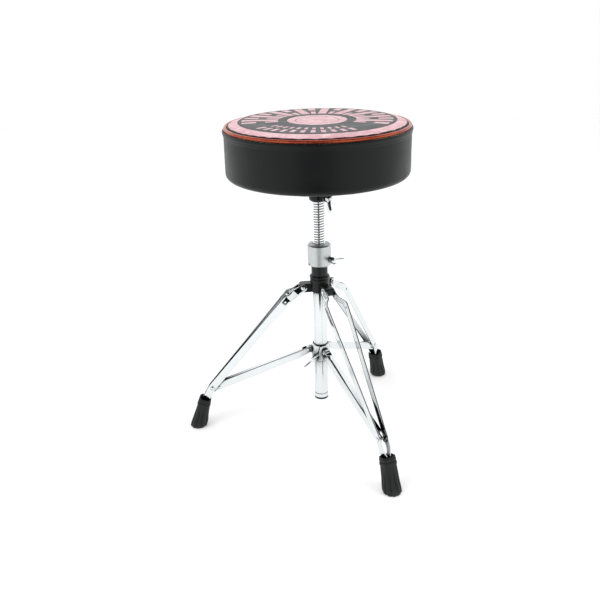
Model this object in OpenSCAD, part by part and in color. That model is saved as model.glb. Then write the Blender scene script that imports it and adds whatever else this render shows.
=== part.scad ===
// Drum throne: a round padded seat on a threaded spindle that turns in a nut block,
// carried by a double-braced folding tripod. Millimetres, Z up, origin on the axis at floor level.

/* [Seat] */
// Outside diameter of the cushion
seat_d = 350; // [330:5:370]
// Height of the cushion's flat underside above the floor
seat_bottom_z = 549; // [540:1:560]
// Height of the cushion's side, underside to piping
seat_side_h = 92; // [80:1:100]
// Rise of the top panel from the piping to the centre
seat_crown_h = 6; // [3:1:10]
// Diameter of the piping cord around the top panel
piping_d = 7; // [5:0.5:9]
// Distance from the side of the cushion in to the piping
piping_inset = 6; // [5:0.5:9]
// Thickness of the vinyl covers
skin_t = 1.2; // [1:0.1:2]
// Thickness of the plywood board
board_t = 12; // [9:1:15]
// Number of staples that hold the cover under the board
staple_count = 24; // [12:4:36]

/* [Seat mount] */
// Diameter of the steel plate under the board
plate_d = 150; // [130:5:180]
// Thickness of the steel plate
plate_t = 3; // [2:0.5:4]
// Outside diameter of the receiver that takes the spindle
receiver_d = 37; // [35:1:42]
// Height of the receiver's lower end above the floor
receiver_bottom_z = 498; // [494:1:502]
// Direction of the seat clamp bolt around the axis
seat_clamp_az = -50; // [-180:5:180]

/* [Spindle] */
// Outside diameter of the spindle's thread
thread_d = 24; // [23.5:0.5:25]
// Pitch of the thread, and the height gained by one turn of the seat
thread_pitch = 5; // [5:1:5]
// Depth of the thread
thread_depth = 2.2; // [1.8:0.1:2.4]
// Turns of thread cut on the spindle
thread_turns = 36; // [30:1:36]
// Height of the spindle's lower end above the floor
spindle_bottom_z = 190; // [180:1:200]

/* [Centre column] */
// Outside diameter of the centre tube
tube_d = 28.6; // [28.4:0.1:29]
// Wall thickness of the centre tube
tube_wall = 1.5; // [1.2:0.1:1.5]
// Height of the tube's lower end above the floor
tube_bottom_z = 72; // [66:1:80]
// Outside diameter of the nut block
block_d = 46; // [44:1:50]
// Height of the nut block's lower face above the floor
block_bottom_z = 369; // [367:1:371]
// Height of the nut block from face to face
block_h = 44; // [42:1:46]
// Direction of the height lock bolt around the axis
height_lock_az = -24; // [-180:5:180]

/* [Leg hub] */
// Outside diameter of the hub
hub_d = 38.5; // [37:0.5:40]
// Height of the hub's lower face above the floor
hub_bottom_z = 314; // [312:1:316]
// Height of the hub from its lower face to the top of its rim
hub_h = 34.5; // [33:0.5:38]
// Width of the lugs that the legs hang on
lug_w = 17; // [15:0.5:19]
// Distance from the axis to the leg pivots
hub_pivot_r = 32.5; // [32:0.5:34]
// Height of the leg pivots above the floor
hub_pivot_z = 323; // [322:1:325]

/* [Legs] */
// Directions of the three legs around the axis
leg_az = [180, -60, 60];
// Width of the flat leg rails
rail_w = 15; // [13:0.5:16]
// Thickness of the flat leg rails
rail_t = 2.6; // [2:0.1:3]
// Greatest gap between the two rails of a leg, at the knee
knee_gap = 40; // [34:1:42]
// Distance from the axis to the middle of a foot on the floor
foot_r = 268.5; // [265:0.5:272]

/* [Braces] */
// Distance from the axis to the brace pivots on the collar
collar_pivot_r = 24; // [23.5:0.5:25]
// Height of the brace pivots on the collar above the floor
collar_pivot_z = 184.5; // [183:0.5:186]
// Outside width of the brace channel
brace_w = 14; // [13:0.5:14.5]
// Depth of the brace channel
brace_h = 15.4; // [14:0.2:16.4]
// Wall thickness of the brace channel
brace_wall = 1.6; // [1.2:0.1:1.8]
// Direction of the collar lock bolt around the axis
collar_lock_az = -120; // [-135:5:-105]

/* [Fits] */
// Radial clearance of shafts that turn or slide
run_fit = 0.05; // [0.02:0.01:0.1]
// Side clearance between flat faces that move past each other
side_fit = 0.25; // [0.15:0.05:0.4]
// Radial clearance between the spindle's thread and the insert's thread
thread_fit = 0.45; // [0.4:0.05:0.6]

/* [Hidden] */
$fn = 64;

// Seat levels and radii
seat_r = seat_d / 2;
piping_z = seat_bottom_z + seat_side_h;
piping_r = seat_r - piping_inset;
seat_edge_round = 14;
board_r = seat_r - 6.5;
board_round = 6;
seat_base_round = 11;
cover_return_r = seat_r - 25;
cloth_t = 0.8;
board_z = seat_bottom_z + skin_t;
board_top_z = board_z + board_t;
staple_size = [10, 1.3, 0.6];

// Seat mount
plate_top_z = seat_bottom_z - cloth_t;
plate_bolt_r = 56;
plate_bolt_d = 6;
plate_bolt_head = [12, 4];
tee_flange = [19, 1.3];
tee_recess = 0.2;
tee_barrel_d = 8.6;
tee_barrel_h = 8;
receiver_top_z = plate_top_z - plate_t;
receiver_flange = [58, 4];
receiver_boss = [15, 26];
seat_clamp_z = receiver_bottom_z + 10;
seat_clamp_twist = -25;

// Spindle
thread_r = thread_d / 2;
core_r = thread_r - thread_depth;
thread_bottom_z = 325;
thread_end = 1;
thread_steps = 16;
thread_profile = [0, 0.28, 0.45, 0.83];
thread_axial_fit = 0.07;
thread_top_z = thread_bottom_z + (thread_turns + 1) * thread_pitch + thread_end;
spindle_top_z = receiver_top_z - 3;
shank_r = 9.6;
guide_r = 7;
guide_h = 15;
guide_washer = [20, 2];
guide_screw = [6, 22, 11, 4];

// Centre column
tube_r = tube_d / 2;
tube_bore_r = tube_r - tube_wall;
tube_top_z = block_bottom_z + 8;
cap_lip_h = 4;
cap_plug_h = 14;
groove_z = 12;
groove = [1.6, 0.7];
block_mouth = [thread_r + 1.2, 2];
block_top_z = block_bottom_z + block_h;
block_chamfer = 2.5;
height_lock_z = block_bottom_z + 13;
height_lock_twist = 86;
sleeve_r = 16.2;

// Wing bolts: shank, boss and two swept wings
bolt_d = 8;
wing_boss = [12, 11];
wing_reach = 20;
wing_sweep = 11;
wing_root_r = 4.6;
wing_tip_r = 5.2;
wing_t = 4.2;

// Leg hub
rim_z = hub_bottom_z + hub_h - 7;
rim_r = hub_d / 2 + 0.8;
lug_top_z = hub_bottom_z + 17;
lug_reach = 43;
lug_nose_r = 10;
pivot_d = 8;
pivot_head = [10, 3];
roll_pin_d = 4;

// Leg rails: corners of the centre line, pivot first, in the plane of the leg
rail_path = [
    [hub_pivot_r, hub_pivot_z],
    [hub_pivot_r + 32.8, hub_pivot_z - 21.6],
    [hub_pivot_r + 200.2, hub_pivot_z - 228.7],
    [hub_pivot_r + 229.5, hub_pivot_z - 283]
];
lower_bend = rail_path[2];
brace_pin = [lower_bend[0] - 2.2, lower_bend[1] + 2];
brace_pin_d = 5;
brace_pin_head = [9, 2.4];
knee_hole_d = 4;
sheet_h = 960;
splay_dir = 45;
eye_gap = lug_w + 2 * side_fit;
pin_gap = brace_w + 2 * side_fit;
toe_gap = 5;

// Feet
foot_top = [249, 68];
foot_axis_len = norm([foot_r - foot_top[0], foot_top[1]]);
foot_tilt = atan2(foot_r - foot_top[0], foot_top[1]);
foot_bottom_d = 37;
foot_sole_r = 15.5;
foot_neck = [22, 25];
foot_rib_h = 8;
pocket_fit = 0.05;
foot_flutes = 10;

// Braces and collar
collar_pin = [collar_pivot_r, collar_pivot_z];
brace_vec = brace_pin - collar_pin;
brace_len = norm(brace_vec);
brace_slope = atan2(-brace_vec[1], brace_vec[0]);
collar_r = 18.5;
collar_z = [164, 199];
collar_lug_w = brace_w - 2 * brace_wall - 2 * side_fit;
collar_lug_r = 6.5;
collar_pin_d = 5;
collar_pin_head = [8, 2];
collar_lock_z = 172;
collar_lock_twist = -42;
brace_nose = [5.5, 6];
brace_waist = [25, brace_nose[1] - brace_h / 2];
web_cut = 13;
ear_drop = 2.2;
ear_r = 8.2;
slot_run = [-12.2, -3.3];
slot_r = brace_pin_d / 2 + 1.6;
leg_names = ["left", "front", "rear"];

// ---------- shared shapes ----------

// Hollow round bar standing on the XY plane
module ring(r_out, r_in, h) {
    difference() {
        cylinder(r = r_out, h = h);
        translate([0, 0, -1]) cylinder(r = r_in, h = h + 2);
    }
}

// Low dome on the XY plane, from a sphere
module dome(d, h) {
    ball_r = (d * d / 4 + h * h) / (2 * h);
    intersection() {
        cylinder(d = d, h = h);
        translate([0, 0, h - ball_r]) sphere(r = ball_r, $fn = 96);
    }
}

// Rivet along Y with a dome on each side; half is the distance from its middle to a head
module rivet(d, half, head) {
    rotate([90, 0, 0]) {
        cylinder(d = d, h = 2 * half, center = true);
        translate([0, 0, half]) dome(head[0], head[1]);
        translate([0, 0, -half]) rotate([180, 0, 0]) dome(head[0], head[1]);
    }
}

// Outline of a strip with rounded ends between two points
function strip(p, q, r_p, r_q, steps = 14) =
    let (run = q - p, face = atan2(run[1], run[0]), lean = asin((r_p - r_q) / norm(run)))
    concat(arc(q, r_q, face - 90 + lean, face + 90 - lean, steps),
        arc(p, r_p, face + 90 - lean, face + 270 + lean, steps));

function unit(v) = v / norm(v);
function normal(v) = [-unit(v)[1], unit(v)[0]];

// One side of a band that follows a path, with mitred corners
function band_side(path, off) = [for (i = [0 : len(path) - 1])
    let (a = normal(path[min(i + 1, len(path) - 1)] - path[min(i, len(path) - 2)]),
         b = normal(path[max(i, 1)] - path[max(i - 1, 0)]),
         m = unit(a + b))
    path[i] + m * off / (m * a)];

function reversed(list) = [for (i = [len(list) - 1 : -1 : 0]) list[i]];

function arc(c, r, from, to, steps = 8) = [for (i = [0 : steps])
    let (a = from + (to - from) * i / steps) c + r * [cos(a), sin(a)]];

// Direction along +X, turned around the axis and raised
module at_az(az, z) {
    rotate([0, 0, az]) translate([0, 0, z]) children();
}

// Solid screw with a right-hand ridge and flat ends; the ridge grows and fades over one turn
module screw_solid(root_r, crest_r, pitch, turns, steps, axial, end) {
    last = turns * steps;
    rows = len(thread_profile);
    rise = [axial, -axial, -axial, axial];
    screw_points = [for (n = [0 : last], j = [0 : rows - 1])
        let (grow = min(1, n / steps, (last - n) / steps),
             r = (j < 2) ? root_r : root_r + (crest_r - root_r) * grow,
             z = pitch * (n / steps + thread_profile[j] + rise[j]))
        [r * cos(360 * n / steps), r * sin(360 * n / steps), z]];
    low = [for (i = [0 : steps - 1]) [root_r * cos(360 * i / steps), root_r * sin(360 * i / steps), -end]];
    top_z = pitch * (turns + 1) + end;
    high = [for (p = low) [p[0], p[1], top_z]];
    base = (last + 1) * rows;
    ridge = [for (n = [0 : last - 1], j = [0 : rows - 2])
        let (k = n * rows + j)
        each [[k, k + 1, k + rows + 1], [k, k + rows + 1, k + rows]]];
    valley = [for (n = [0 : last - steps - 1])
        let (k = n * rows + rows - 1, up = (n + steps) * rows)
        each [[k, up, up + rows], [k, up + rows, k + rows]]];
    foot = [for (n = [0 : steps - 2])
        let (k = n * rows)
        each [[base + n, k, k + rows], [base + n, k + rows, base + n + 1]]];
    seam = (steps - 1) * rows;
    foot_seam = concat(
        [[seam, base, base + steps - 1], [seam, 0, base], [seam, steps * rows, rows - 1]],
        [for (j = [0 : rows - 2]) [seam, j + 1, j]]);
    head = [for (i = [1 : steps - 1])
        let (k = (last - steps + i) * rows + rows - 1, t = base + steps + i, u = base + steps + (i + 1) % steps)
        each [[k, t, u], [k, u, k + rows]]];
    open = (last - steps + 1) * rows + rows - 1;
    head_seam = concat(
        [[open, base + steps, base + steps + 1], [open, last * rows + rows - 1, base + steps],
         [open, open - rows, last * rows]],
        [for (j = [0 : rows - 2]) [open, last * rows + j, last * rows + j + 1]]);
    lids = [[for (i = [0 : steps - 1]) base + i], [for (i = [steps - 1 : -1 : 0]) base + steps + i]];
    polyhedron(concat(screw_points, low, high),
        concat(ridge, valley, foot, foot_seam, head, head_seam, lids), convexity = 4);
}

// Wing bolt along X: its boss starts at x = 0, the shank runs inward, the wings lie in the XZ plane
module wing_bolt(shank) {
    rotate([0, -90, 0]) cylinder(d = bolt_d, h = shank);
    rotate([0, 90, 0]) cylinder(d = wing_boss[0], h = wing_boss[1]);
    rotate([90, 0, 0]) translate([0, 0, -wing_t / 2]) linear_extrude(wing_t) {
        for (side = [1, -1])
            polygon(strip([wing_boss[1] - wing_root_r, 0],
                [wing_boss[1] - wing_root_r + wing_sweep, side * wing_reach], wing_root_r, wing_tip_r));
    }
}

// ---------- seat ----------

// Outline of the cushion, from its underside to the piping, moved in by an amount
function cushion_side(off) = concat(
    arc([seat_r - seat_base_round, seat_bottom_z + seat_base_round], seat_base_round - off, -90, 0),
    arc([seat_r - seat_edge_round, piping_z - seat_edge_round + piping_d / 2], seat_edge_round - off, 0, 62));

// Outline of the top panel, from the piping to the centre, moved down by an amount
crown_ball_r = (piping_r * piping_r + seat_crown_h * seat_crown_h) / (2 * seat_crown_h);
crown_edge = asin((piping_r - piping_d / 2) / crown_ball_r);
crown_centre_z = piping_z + piping_d / 4 + seat_crown_h - crown_ball_r;
function cushion_top(off) = arc([0, crown_centre_z], crown_ball_r - off, 90 - crown_edge, 90);

module piping_groove() {
    rotate_extrude() translate([piping_r, piping_z]) circle(d = piping_d, $fn = 32);
}

module seat_top_cover() {
    color("dimgray") difference() {
        rotate_extrude() polygon(concat(cushion_top(0), reversed(cushion_top(skin_t))));
        piping_groove();
    }
}

module seat_piping() {
    color("chocolate") piping_groove();
}

module seat_side_cover() {
    inner = reversed(cushion_side(skin_t));
    color("black") difference() {
        rotate_extrude() polygon(concat(
            [[cover_return_r, seat_bottom_z]], cushion_side(0), inner,
            [[cover_return_r, seat_bottom_z + skin_t]]));
        piping_groove();
    }
}

// Rounded lower edge of the board; the foam is wrapped over it
board_edge = arc([board_r - board_round, board_z + board_round], board_round, -90, 0);
foam_tip_r = board_r - 3;

module seat_foam() {
    color("khaki") difference() {
        rotate_extrude() polygon(concat(
            [[0, board_top_z], [board_r, board_top_z]],
            [for (p = reversed(board_edge)) if (p[0] > foam_tip_r) p],
            [for (p = cushion_side(skin_t)) if (p[0] > foam_tip_r) p],
            cushion_top(skin_t)));
        piping_groove();
    }
}

// Four places on the bolt circle of the seat plate
module at_plate_bolts() {
    for (i = [0 : 3]) rotate([0, 0, 45 + 90 * i]) translate([plate_bolt_r, 0, 0]) children();
}

tee_z = board_top_z - tee_recess - tee_flange[1];

module seat_board() {
    color("burlywood") difference() {
        rotate_extrude() polygon(concat([[0, board_z]], board_edge, [[board_r, board_top_z], [0, board_top_z]]));
        at_plate_bolts() {
            translate([0, 0, board_z - 1]) cylinder(d = tee_barrel_d, h = board_t + 2);
            translate([0, 0, tee_z]) cylinder(d = tee_flange[0], h = board_t);
        }
    }
}

module seat_bottom_cloth() {
    color("darkslategray") difference() {
        translate([0, 0, plate_top_z]) cylinder(r = cover_return_r + 10, h = cloth_t);
        at_plate_bolts() translate([0, 0, plate_top_z - 1]) cylinder(d = plate_bolt_d + 0.6, h = cloth_t + 2);
    }
}

module seat_staples() {
    color("silver") for (i = [0 : staple_count - 1])
        rotate([0, 0, 360 * i / staple_count])
            translate([cover_return_r + 4, 0, plate_top_z - staple_size[2] / 2])
                rotate([0, 0, 90]) cube(staple_size, center = true);
}

module seat_tee_nuts() {
    color("gray") at_plate_bolts() difference() {
        union() {
            translate([0, 0, tee_z]) cylinder(d = tee_flange[0], h = tee_flange[1]);
            translate([0, 0, board_top_z - tee_barrel_h]) cylinder(d = tee_barrel_d, h = tee_barrel_h - 1);
        }
        translate([0, 0, board_top_z - tee_barrel_h - 1]) cylinder(d = plate_bolt_d, h = tee_barrel_h + 2);
    }
}

module seat_plate() {
    color("dimgray") difference() {
        translate([0, 0, receiver_top_z]) cylinder(d = plate_d, h = plate_t);
        at_plate_bolts() translate([0, 0, receiver_top_z - 1]) cylinder(d = plate_bolt_d + 0.4, h = plate_t + 2);
    }
}

module seat_plate_bolts() {
    color("silver") at_plate_bolts() {
        translate([0, 0, receiver_top_z - plate_bolt_head[1]]) cylinder(d = plate_bolt_head[0], h = plate_bolt_head[1]);
        translate([0, 0, receiver_top_z - 1]) cylinder(d = plate_bolt_d, h = board_top_z - receiver_top_z);
    }
}

module seat_receiver() {
    bowl = 7;
    r = receiver_d / 2;
    bore = thread_r + run_fit;
    color("black") difference() {
        union() {
            rotate_extrude() polygon(concat(
                [[bore, receiver_bottom_z]],
                arc([r - bowl, receiver_bottom_z + bowl], bowl, -75, 0),
                [[r, receiver_top_z - receiver_flange[1] - 3],
                 [receiver_flange[0] / 2, receiver_top_z - receiver_flange[1]],
                 [receiver_flange[0] / 2, receiver_top_z], [bore, receiver_top_z]]));
            at_az(seat_clamp_az, seat_clamp_z) rotate([0, 90, 0])
                translate([0, 0, bore + 1]) cylinder(d = receiver_boss[0], h = receiver_boss[1] - bore - 1);
        }
        translate([0, 0, receiver_bottom_z - 10]) cylinder(r = bore, h = receiver_top_z - receiver_bottom_z + 20);
        at_az(seat_clamp_az, seat_clamp_z) rotate([0, 90, 0]) cylinder(r = bolt_d / 2 + run_fit, h = receiver_d);
    }
}

module seat_clamp_bolt() {
    gap = receiver_boss[1] + side_fit;
    color("silver") at_az(seat_clamp_az, seat_clamp_z) translate([gap, 0, 0]) rotate([seat_clamp_twist, 0, 0])
        wing_bolt(gap - thread_r - 0.4);
}

// ---------- spindle ----------

module threaded_spindle() {
    color("silver") difference() {
        union() {
            translate([0, 0, thread_bottom_z])
                screw_solid(core_r, thread_r, thread_pitch, thread_turns, thread_steps, 0, thread_end);
            translate([0, 0, thread_top_z]) cylinder(r = thread_r, h = spindle_top_z - thread_top_z);
            translate([0, 0, spindle_bottom_z + guide_h])
                cylinder(r = shank_r, h = thread_bottom_z - thread_end - spindle_bottom_z - guide_h);
            translate([0, 0, spindle_bottom_z]) cylinder(r = guide_r, h = guide_h + 1);
        }
        translate([0, 0, spindle_bottom_z - 1]) cylinder(d = guide_screw[0], h = guide_screw[1] + 1);
    }
}

module spindle_guide_bush() {
    color("whitesmoke") translate([0, 0, spindle_bottom_z + side_fit])
        ring(tube_bore_r - run_fit, guide_r + run_fit, guide_h - 2 * side_fit);
}

module guide_bush_washer() {
    color("silver") translate([0, 0, spindle_bottom_z - guide_washer[1]])
        ring(guide_washer[0] / 2, guide_screw[0] / 2, guide_washer[1]);
}

module guide_bush_screw() {
    head_z = spindle_bottom_z - guide_washer[1] - guide_screw[3];
    color("dimgray") {
        translate([0, 0, head_z]) cylinder(d = guide_screw[2], h = guide_screw[3]);
        translate([0, 0, head_z + 1])
            cylinder(d = guide_screw[0], h = guide_screw[1] + guide_washer[1] + guide_screw[3] - 3);
    }
}

// ---------- centre column ----------

module centre_tube() {
    color("silver") difference() {
        translate([0, 0, tube_bottom_z + cap_lip_h]) ring(tube_r, tube_bore_r, tube_top_z - tube_bottom_z - cap_lip_h);
        translate([0, 0, tube_bottom_z + groove_z]) ring(tube_r + 1, tube_r - groove[1], groove[0]);
        hub_pin_hole();
    }
}

module tube_end_cap() {
    color("black") {
        translate([0, 0, tube_bottom_z]) cylinder(r = tube_r, h = cap_lip_h);
        translate([0, 0, tube_bottom_z + cap_lip_h - 0.5]) cylinder(r = tube_bore_r, h = cap_plug_h);
    }
}

module spacer_sleeve() {
    color("black") translate([0, 0, hub_bottom_z + hub_h - 4])
        ring(sleeve_r, tube_r, block_bottom_z - hub_bottom_z - hub_h + 4);
}

module nut_block() {
    r = block_d / 2;
    c = block_chamfer;
    color("gainsboro") difference() {
        rotate_extrude() polygon([
            [tube_r, block_bottom_z], [r - c, block_bottom_z], [r, block_bottom_z + c],
            [r, block_top_z - c], [r - c, block_top_z], [block_mouth[0], block_top_z],
            [block_mouth[0], block_top_z - block_mouth[1]], [tube_r, block_top_z - block_mouth[1]]]);
        lock_bolt_hole(height_lock_az, height_lock_z);
        for (az = set_screw_az) at_az(az, set_screw_z) rotate([0, 90, 0])
            translate([0, 0, tube_r - 1]) cylinder(d = set_screw[0], h = block_d);
    }
}

module thread_insert() {
    fit = thread_axial_fit;
    color("goldenrod") difference() {
        translate([0, 0, tube_top_z]) cylinder(r = tube_r, h = block_top_z - tube_top_z - block_mouth[1]);
        translate([0, 0, insert_tool_z])
            screw_solid(core_r + thread_fit, thread_r + thread_fit, thread_pitch, insert_turns, thread_steps, fit, 1);
        lock_bolt_hole(height_lock_az, height_lock_z);
    }
}

// The cutting screw starts whole turns above the spindle's own thread, so the two are in step
insert_tool_z = thread_bottom_z + 8 * thread_pitch;
insert_turns = 12;

set_screw = [5, 7];
set_screw_az = [90, 210];
set_screw_z = block_bottom_z + 4;

module block_set_screws() {
    color("dimgray") for (az = set_screw_az) at_az(az, set_screw_z) rotate([0, 90, 0])
        translate([0, 0, tube_r]) cylinder(d = set_screw[0], h = set_screw[1]);
}

module lock_bolt_hole(az, z) {
    at_az(az, z) rotate([0, 90, 0]) cylinder(r = bolt_d / 2 + run_fit, h = block_d);
}

module height_lock_bolt() {
    gap = block_d / 2 + side_fit;
    color("silver") at_az(height_lock_az, height_lock_z) translate([gap, 0, 0]) rotate([height_lock_twist, 0, 0])
        wing_bolt(gap - thread_r - 0.4);
}

// ---------- leg hub ----------

module hub_pin_hole() {
    translate([0, 0, rim_z - 4]) rotate([90, 0, 0]) cylinder(d = roll_pin_d, h = 3 * tube_d, center = true);
}

module leg_hub() {
    top = hub_bottom_z + hub_h;
    color("black") difference() {
        union() {
            rotate_extrude() polygon(concat(
                [[tube_r, hub_bottom_z], [hub_d / 2 - 1.5, hub_bottom_z], [hub_d / 2, hub_bottom_z + 1.5],
                 [hub_d / 2, rim_z - 1]],
                arc([rim_r - 3.5, rim_z + 3.5], 3.5, -60, 90),
                [[sleeve_r, top], [sleeve_r, top - 4], [tube_r, top - 4]]));
            for (az = leg_az) rotate([0, 0, az]) hub_lug();
        }
        for (az = leg_az) rotate([0, 0, az]) translate([hub_pivot_r, 0, hub_pivot_z]) rotate([90, 0, 0])
            cylinder(r = pivot_d / 2 + run_fit, h = 2 * lug_w, center = true);
        hub_pin_hole();
    }
}

// Lug in the plane of a leg: a flat-topped tongue with a rounded nose
module hub_lug() {
    nose = [lug_reach - lug_nose_r, hub_pivot_z];
    rotate([90, 0, 0]) translate([0, 0, -lug_w / 2]) linear_extrude(lug_w)
        polygon(concat(
            [[tube_r + 1, lug_top_z + 1], [tube_r + 1, hub_bottom_z]],
            arc(nose, lug_nose_r, -90, 45, 12), [[nose[0], lug_top_z]]));
}

module hub_roll_pin() {
    color("dimgray") difference() {
        translate([0, 0, rim_z - 4]) rotate([90, 0, 0]) cylinder(d = roll_pin_d, h = hub_d - 1, center = true);
        cylinder(r = thread_r + 0.25, h = 2 * hub_pivot_z);
    }
}

// ---------- legs ----------

// Distance along the leg, measured in the direction in which the rails splay
function along(p) = p * [cos(splay_dir), -sin(splay_dir)];

// Gap between the rails along the leg, as half gaps at each bend
eye_end = along(rail_path[0]) + 18.5;
knee_start = eye_end + 14.5;
knee_end = knee_start + 17;
splay_path = [
    [along(rail_path[0]) - 12, eye_gap / 2], [eye_end, eye_gap / 2],
    [knee_start, knee_gap / 2], [knee_end, knee_gap / 2],
    [along(brace_pin) - 7, pin_gap / 2], [along(brace_pin) + 20.5, pin_gap / 2],
    [along(brace_pin) + 35, toe_gap / 2], [along(rail_path[3]) + 9, toe_gap / 2]
];
knee_hole = rail_path[1] + 0.02 * (rail_path[2] - rail_path[1]);

eye_dir = atan2(rail_path[1][1] - rail_path[0][1], rail_path[1][0] - rail_path[0][0]);

// Slab wider than a leg, with an outline in the plane of the leg
module side_view(outline) {
    rotate([90, 0, 0]) translate([0, 0, -knee_gap]) linear_extrude(2 * knee_gap) polygon(outline);
}

// Sheet that follows the splay on one side of the leg: a rail's thickness, more by the fit on each face
module splayed_sheet(side, fit = 0) {
    rotate([0, splay_dir, 0]) translate([0, 0, -sheet_h / 2]) linear_extrude(sheet_h)
        polygon(concat(
            [for (p = splay_path) [p[0], side * (p[1] - fit)]],
            [for (p = reversed(splay_path)) [p[0], side * (p[1] + rail_t + fit)]]));
}

// A flat bar cut to the leg's side outline and bent to the splay
module leg_rail(side) {
    color("silver") difference() {
        intersection() {
            side_view(concat(band_side(rail_path, rail_w / 2), reversed(band_side(rail_path, -rail_w / 2)),
                arc(rail_path[0], rail_w / 2, eye_dir - 90, eye_dir - 270, 14)));
            splayed_sheet(side);
        }
        pin_bore(rail_path[0], pivot_d);
        pin_bore(brace_pin, brace_pin_d);
        pin_bore(knee_hole, knee_hole_d);
    }
}

module pin_bore(p, d) {
    translate([p[0], 0, p[1]]) rotate([90, 0, 0]) cylinder(d = d, h = 3 * knee_gap, center = true);
}

module pivot_rivet() {
    color("silver") translate([hub_pivot_r, 0, hub_pivot_z]) rivet(pivot_d, eye_gap / 2 + rail_t, pivot_head);
}

module brace_rivet() {
    color("silver") translate([brace_pin[0], 0, brace_pin[1]])
        rivet(brace_pin_d, pin_gap / 2 + rail_t, brace_pin_head);
}

// Upright section of the foot, lying across the leg: x along the leg, y across
module foot_section(size, z) {
    round_r = 8;
    translate([0, 0, z]) for (x = [-1, 1], y = [-1, 1])
        translate([x * (size[0] / 2 - round_r), y * (size[1] / 2 - round_r), 0])
            cylinder(r = round_r, h = 0.5, $fn = 24);
}

// Foot about its own tilted axis: a flared body with two bands at the top and flutes below them
module foot_body() {
    top = foot_axis_len;
    rib = foot_neck + [3, 3];
    difference() {
        union() {
            hull() {
                translate([0, 0, -10]) cylinder(d = foot_bottom_d, h = 24, $fn = 40);
                foot_section(foot_neck, top - 1);
            }
            for (i = [0, 1]) hull() {
                foot_section(rib - [1, 1], top - (i + 1) * foot_rib_h + 0.4);
                foot_section(rib, top - (i + 1) * foot_rib_h + 3);
                foot_section(rib - [1, 1], top - i * foot_rib_h - 1.4);
            }
        }
        for (i = [0 : foot_flutes - 1]) rotate([0, 0, 360 * (i + 0.5) / foot_flutes])
            translate([foot_bottom_d / 2 + 1.2, 0, -12]) rotate([0, -4.5, 0])
                cylinder(d = 5, h = top - 2 * foot_rib_h + 6);
    }
}

module rubber_foot() {
    sole_h = 2 * foot_axis_len;
    color("black") difference() {
        intersection() {
            translate([foot_r, 0, 0]) rotate([0, -foot_tilt, 0]) foot_body();
            translate([foot_r, 0, 0]) cylinder(r1 = foot_sole_r, r2 = foot_sole_r + sole_h, h = sole_h);
        }
        rail_pocket();
    }
}

// Space that the two rails fill inside the foot, with a little room for the press
module rail_pocket() {
    start = lower_bend + 0.35 * (rail_path[3] - lower_bend);
    end = rail_path[3] + pocket_fit * unit(rail_path[3] - lower_bend);
    for (side = [1, -1]) intersection() {
        side_view(concat(band_side([start, end], rail_w / 2 + pocket_fit),
            reversed(band_side([start, end], -rail_w / 2 - pocket_fit))));
        splayed_sheet(side, pocket_fit);
    }
}

module place_leg(i) {
    rotate([0, 0, leg_az[i]]) children();
}

// ---------- braces and collar ----------

// Extrusion across the brace, centred on it, of an outline in the brace's own side view
module across_brace(width, outline) {
    rotate([90, 0, 0]) translate([0, 0, -width / 2]) linear_extrude(width) polygon(outline);
}

// Channel from the collar pivot, web uppermost, with deep ears around the slot for the leg's rivet
module brace() {
    tip = [brace_len, 0];
    inside = brace_w - 2 * brace_wall;
    color("silver") translate([collar_pin[0], 0, collar_pin[1]]) rotate([0, brace_slope, 0]) difference() {
        union() {
            across_brace(brace_w, strip([0, 0], brace_waist, brace_nose[0], brace_h / 2));
            across_brace(brace_w, strip(brace_waist, tip + [0, -ear_drop], brace_h / 2, ear_r));
        }
        across_brace(inside, strip([0, 0], tip, brace_nose[0] - brace_wall, brace_nose[1] - brace_wall));
        translate([-brace_h, -inside / 2, -2 * brace_h]) cube([brace_len + 2 * brace_h, inside, 2 * brace_h]);
        for (x = [-brace_h, brace_len - web_cut]) translate([x, -inside / 2, -1])
            cube([web_cut + brace_h, inside, brace_h]);
        rotate([90, 0, 0]) cylinder(r = collar_pin_d / 2, h = 2 * brace_w, center = true);
        across_brace(2 * brace_w, strip(tip, tip + slot_run, slot_r, slot_r));
    }
}

module collar_rivet() {
    color("silver") translate([collar_pin[0], 0, collar_pin[1]]) rivet(collar_pin_d, brace_w / 2, collar_pin_head);
}

module brace_collar() {
    boss = 22;
    color("silver") difference() {
        union() {
            rotate_extrude() polygon(concat(
                [[tube_r + run_fit, collar_z[0]]],
                arc([collar_r - 3, collar_z[0] + 3], 3, -90, 0, 4),
                arc([collar_r - 3, collar_z[1] - 3], 3, 0, 90, 4),
                [[tube_r + run_fit, collar_z[1]]]));
            for (az = leg_az) rotate([0, 0, az]) rotate([90, 0, 0])
                translate([0, 0, -collar_lug_w / 2]) linear_extrude(collar_lug_w) {
                    translate(collar_pin) circle(r = collar_lug_r);
                    translate([tube_r + 1, collar_pin[1] - collar_lug_r])
                        square([collar_pin[0] - tube_r - 1, 2 * collar_lug_r]);
                }
            at_az(collar_lock_az, collar_lock_z) rotate([0, 90, 0])
                translate([0, 0, tube_r + 1]) cylinder(d = 13, h = boss - tube_r - 1);
        }
        translate([0, 0, collar_z[0] - 10]) cylinder(r = tube_r + run_fit, h = collar_z[1] - collar_z[0] + 20);
        for (az = leg_az) rotate([0, 0, az]) translate([collar_pin[0], 0, collar_pin[1]]) rotate([90, 0, 0])
            cylinder(r = collar_pin_d / 2 + run_fit, h = 2 * brace_w, center = true);
        lock_bolt_hole(collar_lock_az, collar_lock_z);
    }
}

module collar_lock_bolt() {
    gap = 22 + side_fit;
    color("silver") at_az(collar_lock_az, collar_lock_z) translate([gap, 0, 0]) rotate([collar_lock_twist, 0, 0])
        wing_bolt(gap - tube_r - 0.3);
}

// ---------- pieces ----------

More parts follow.
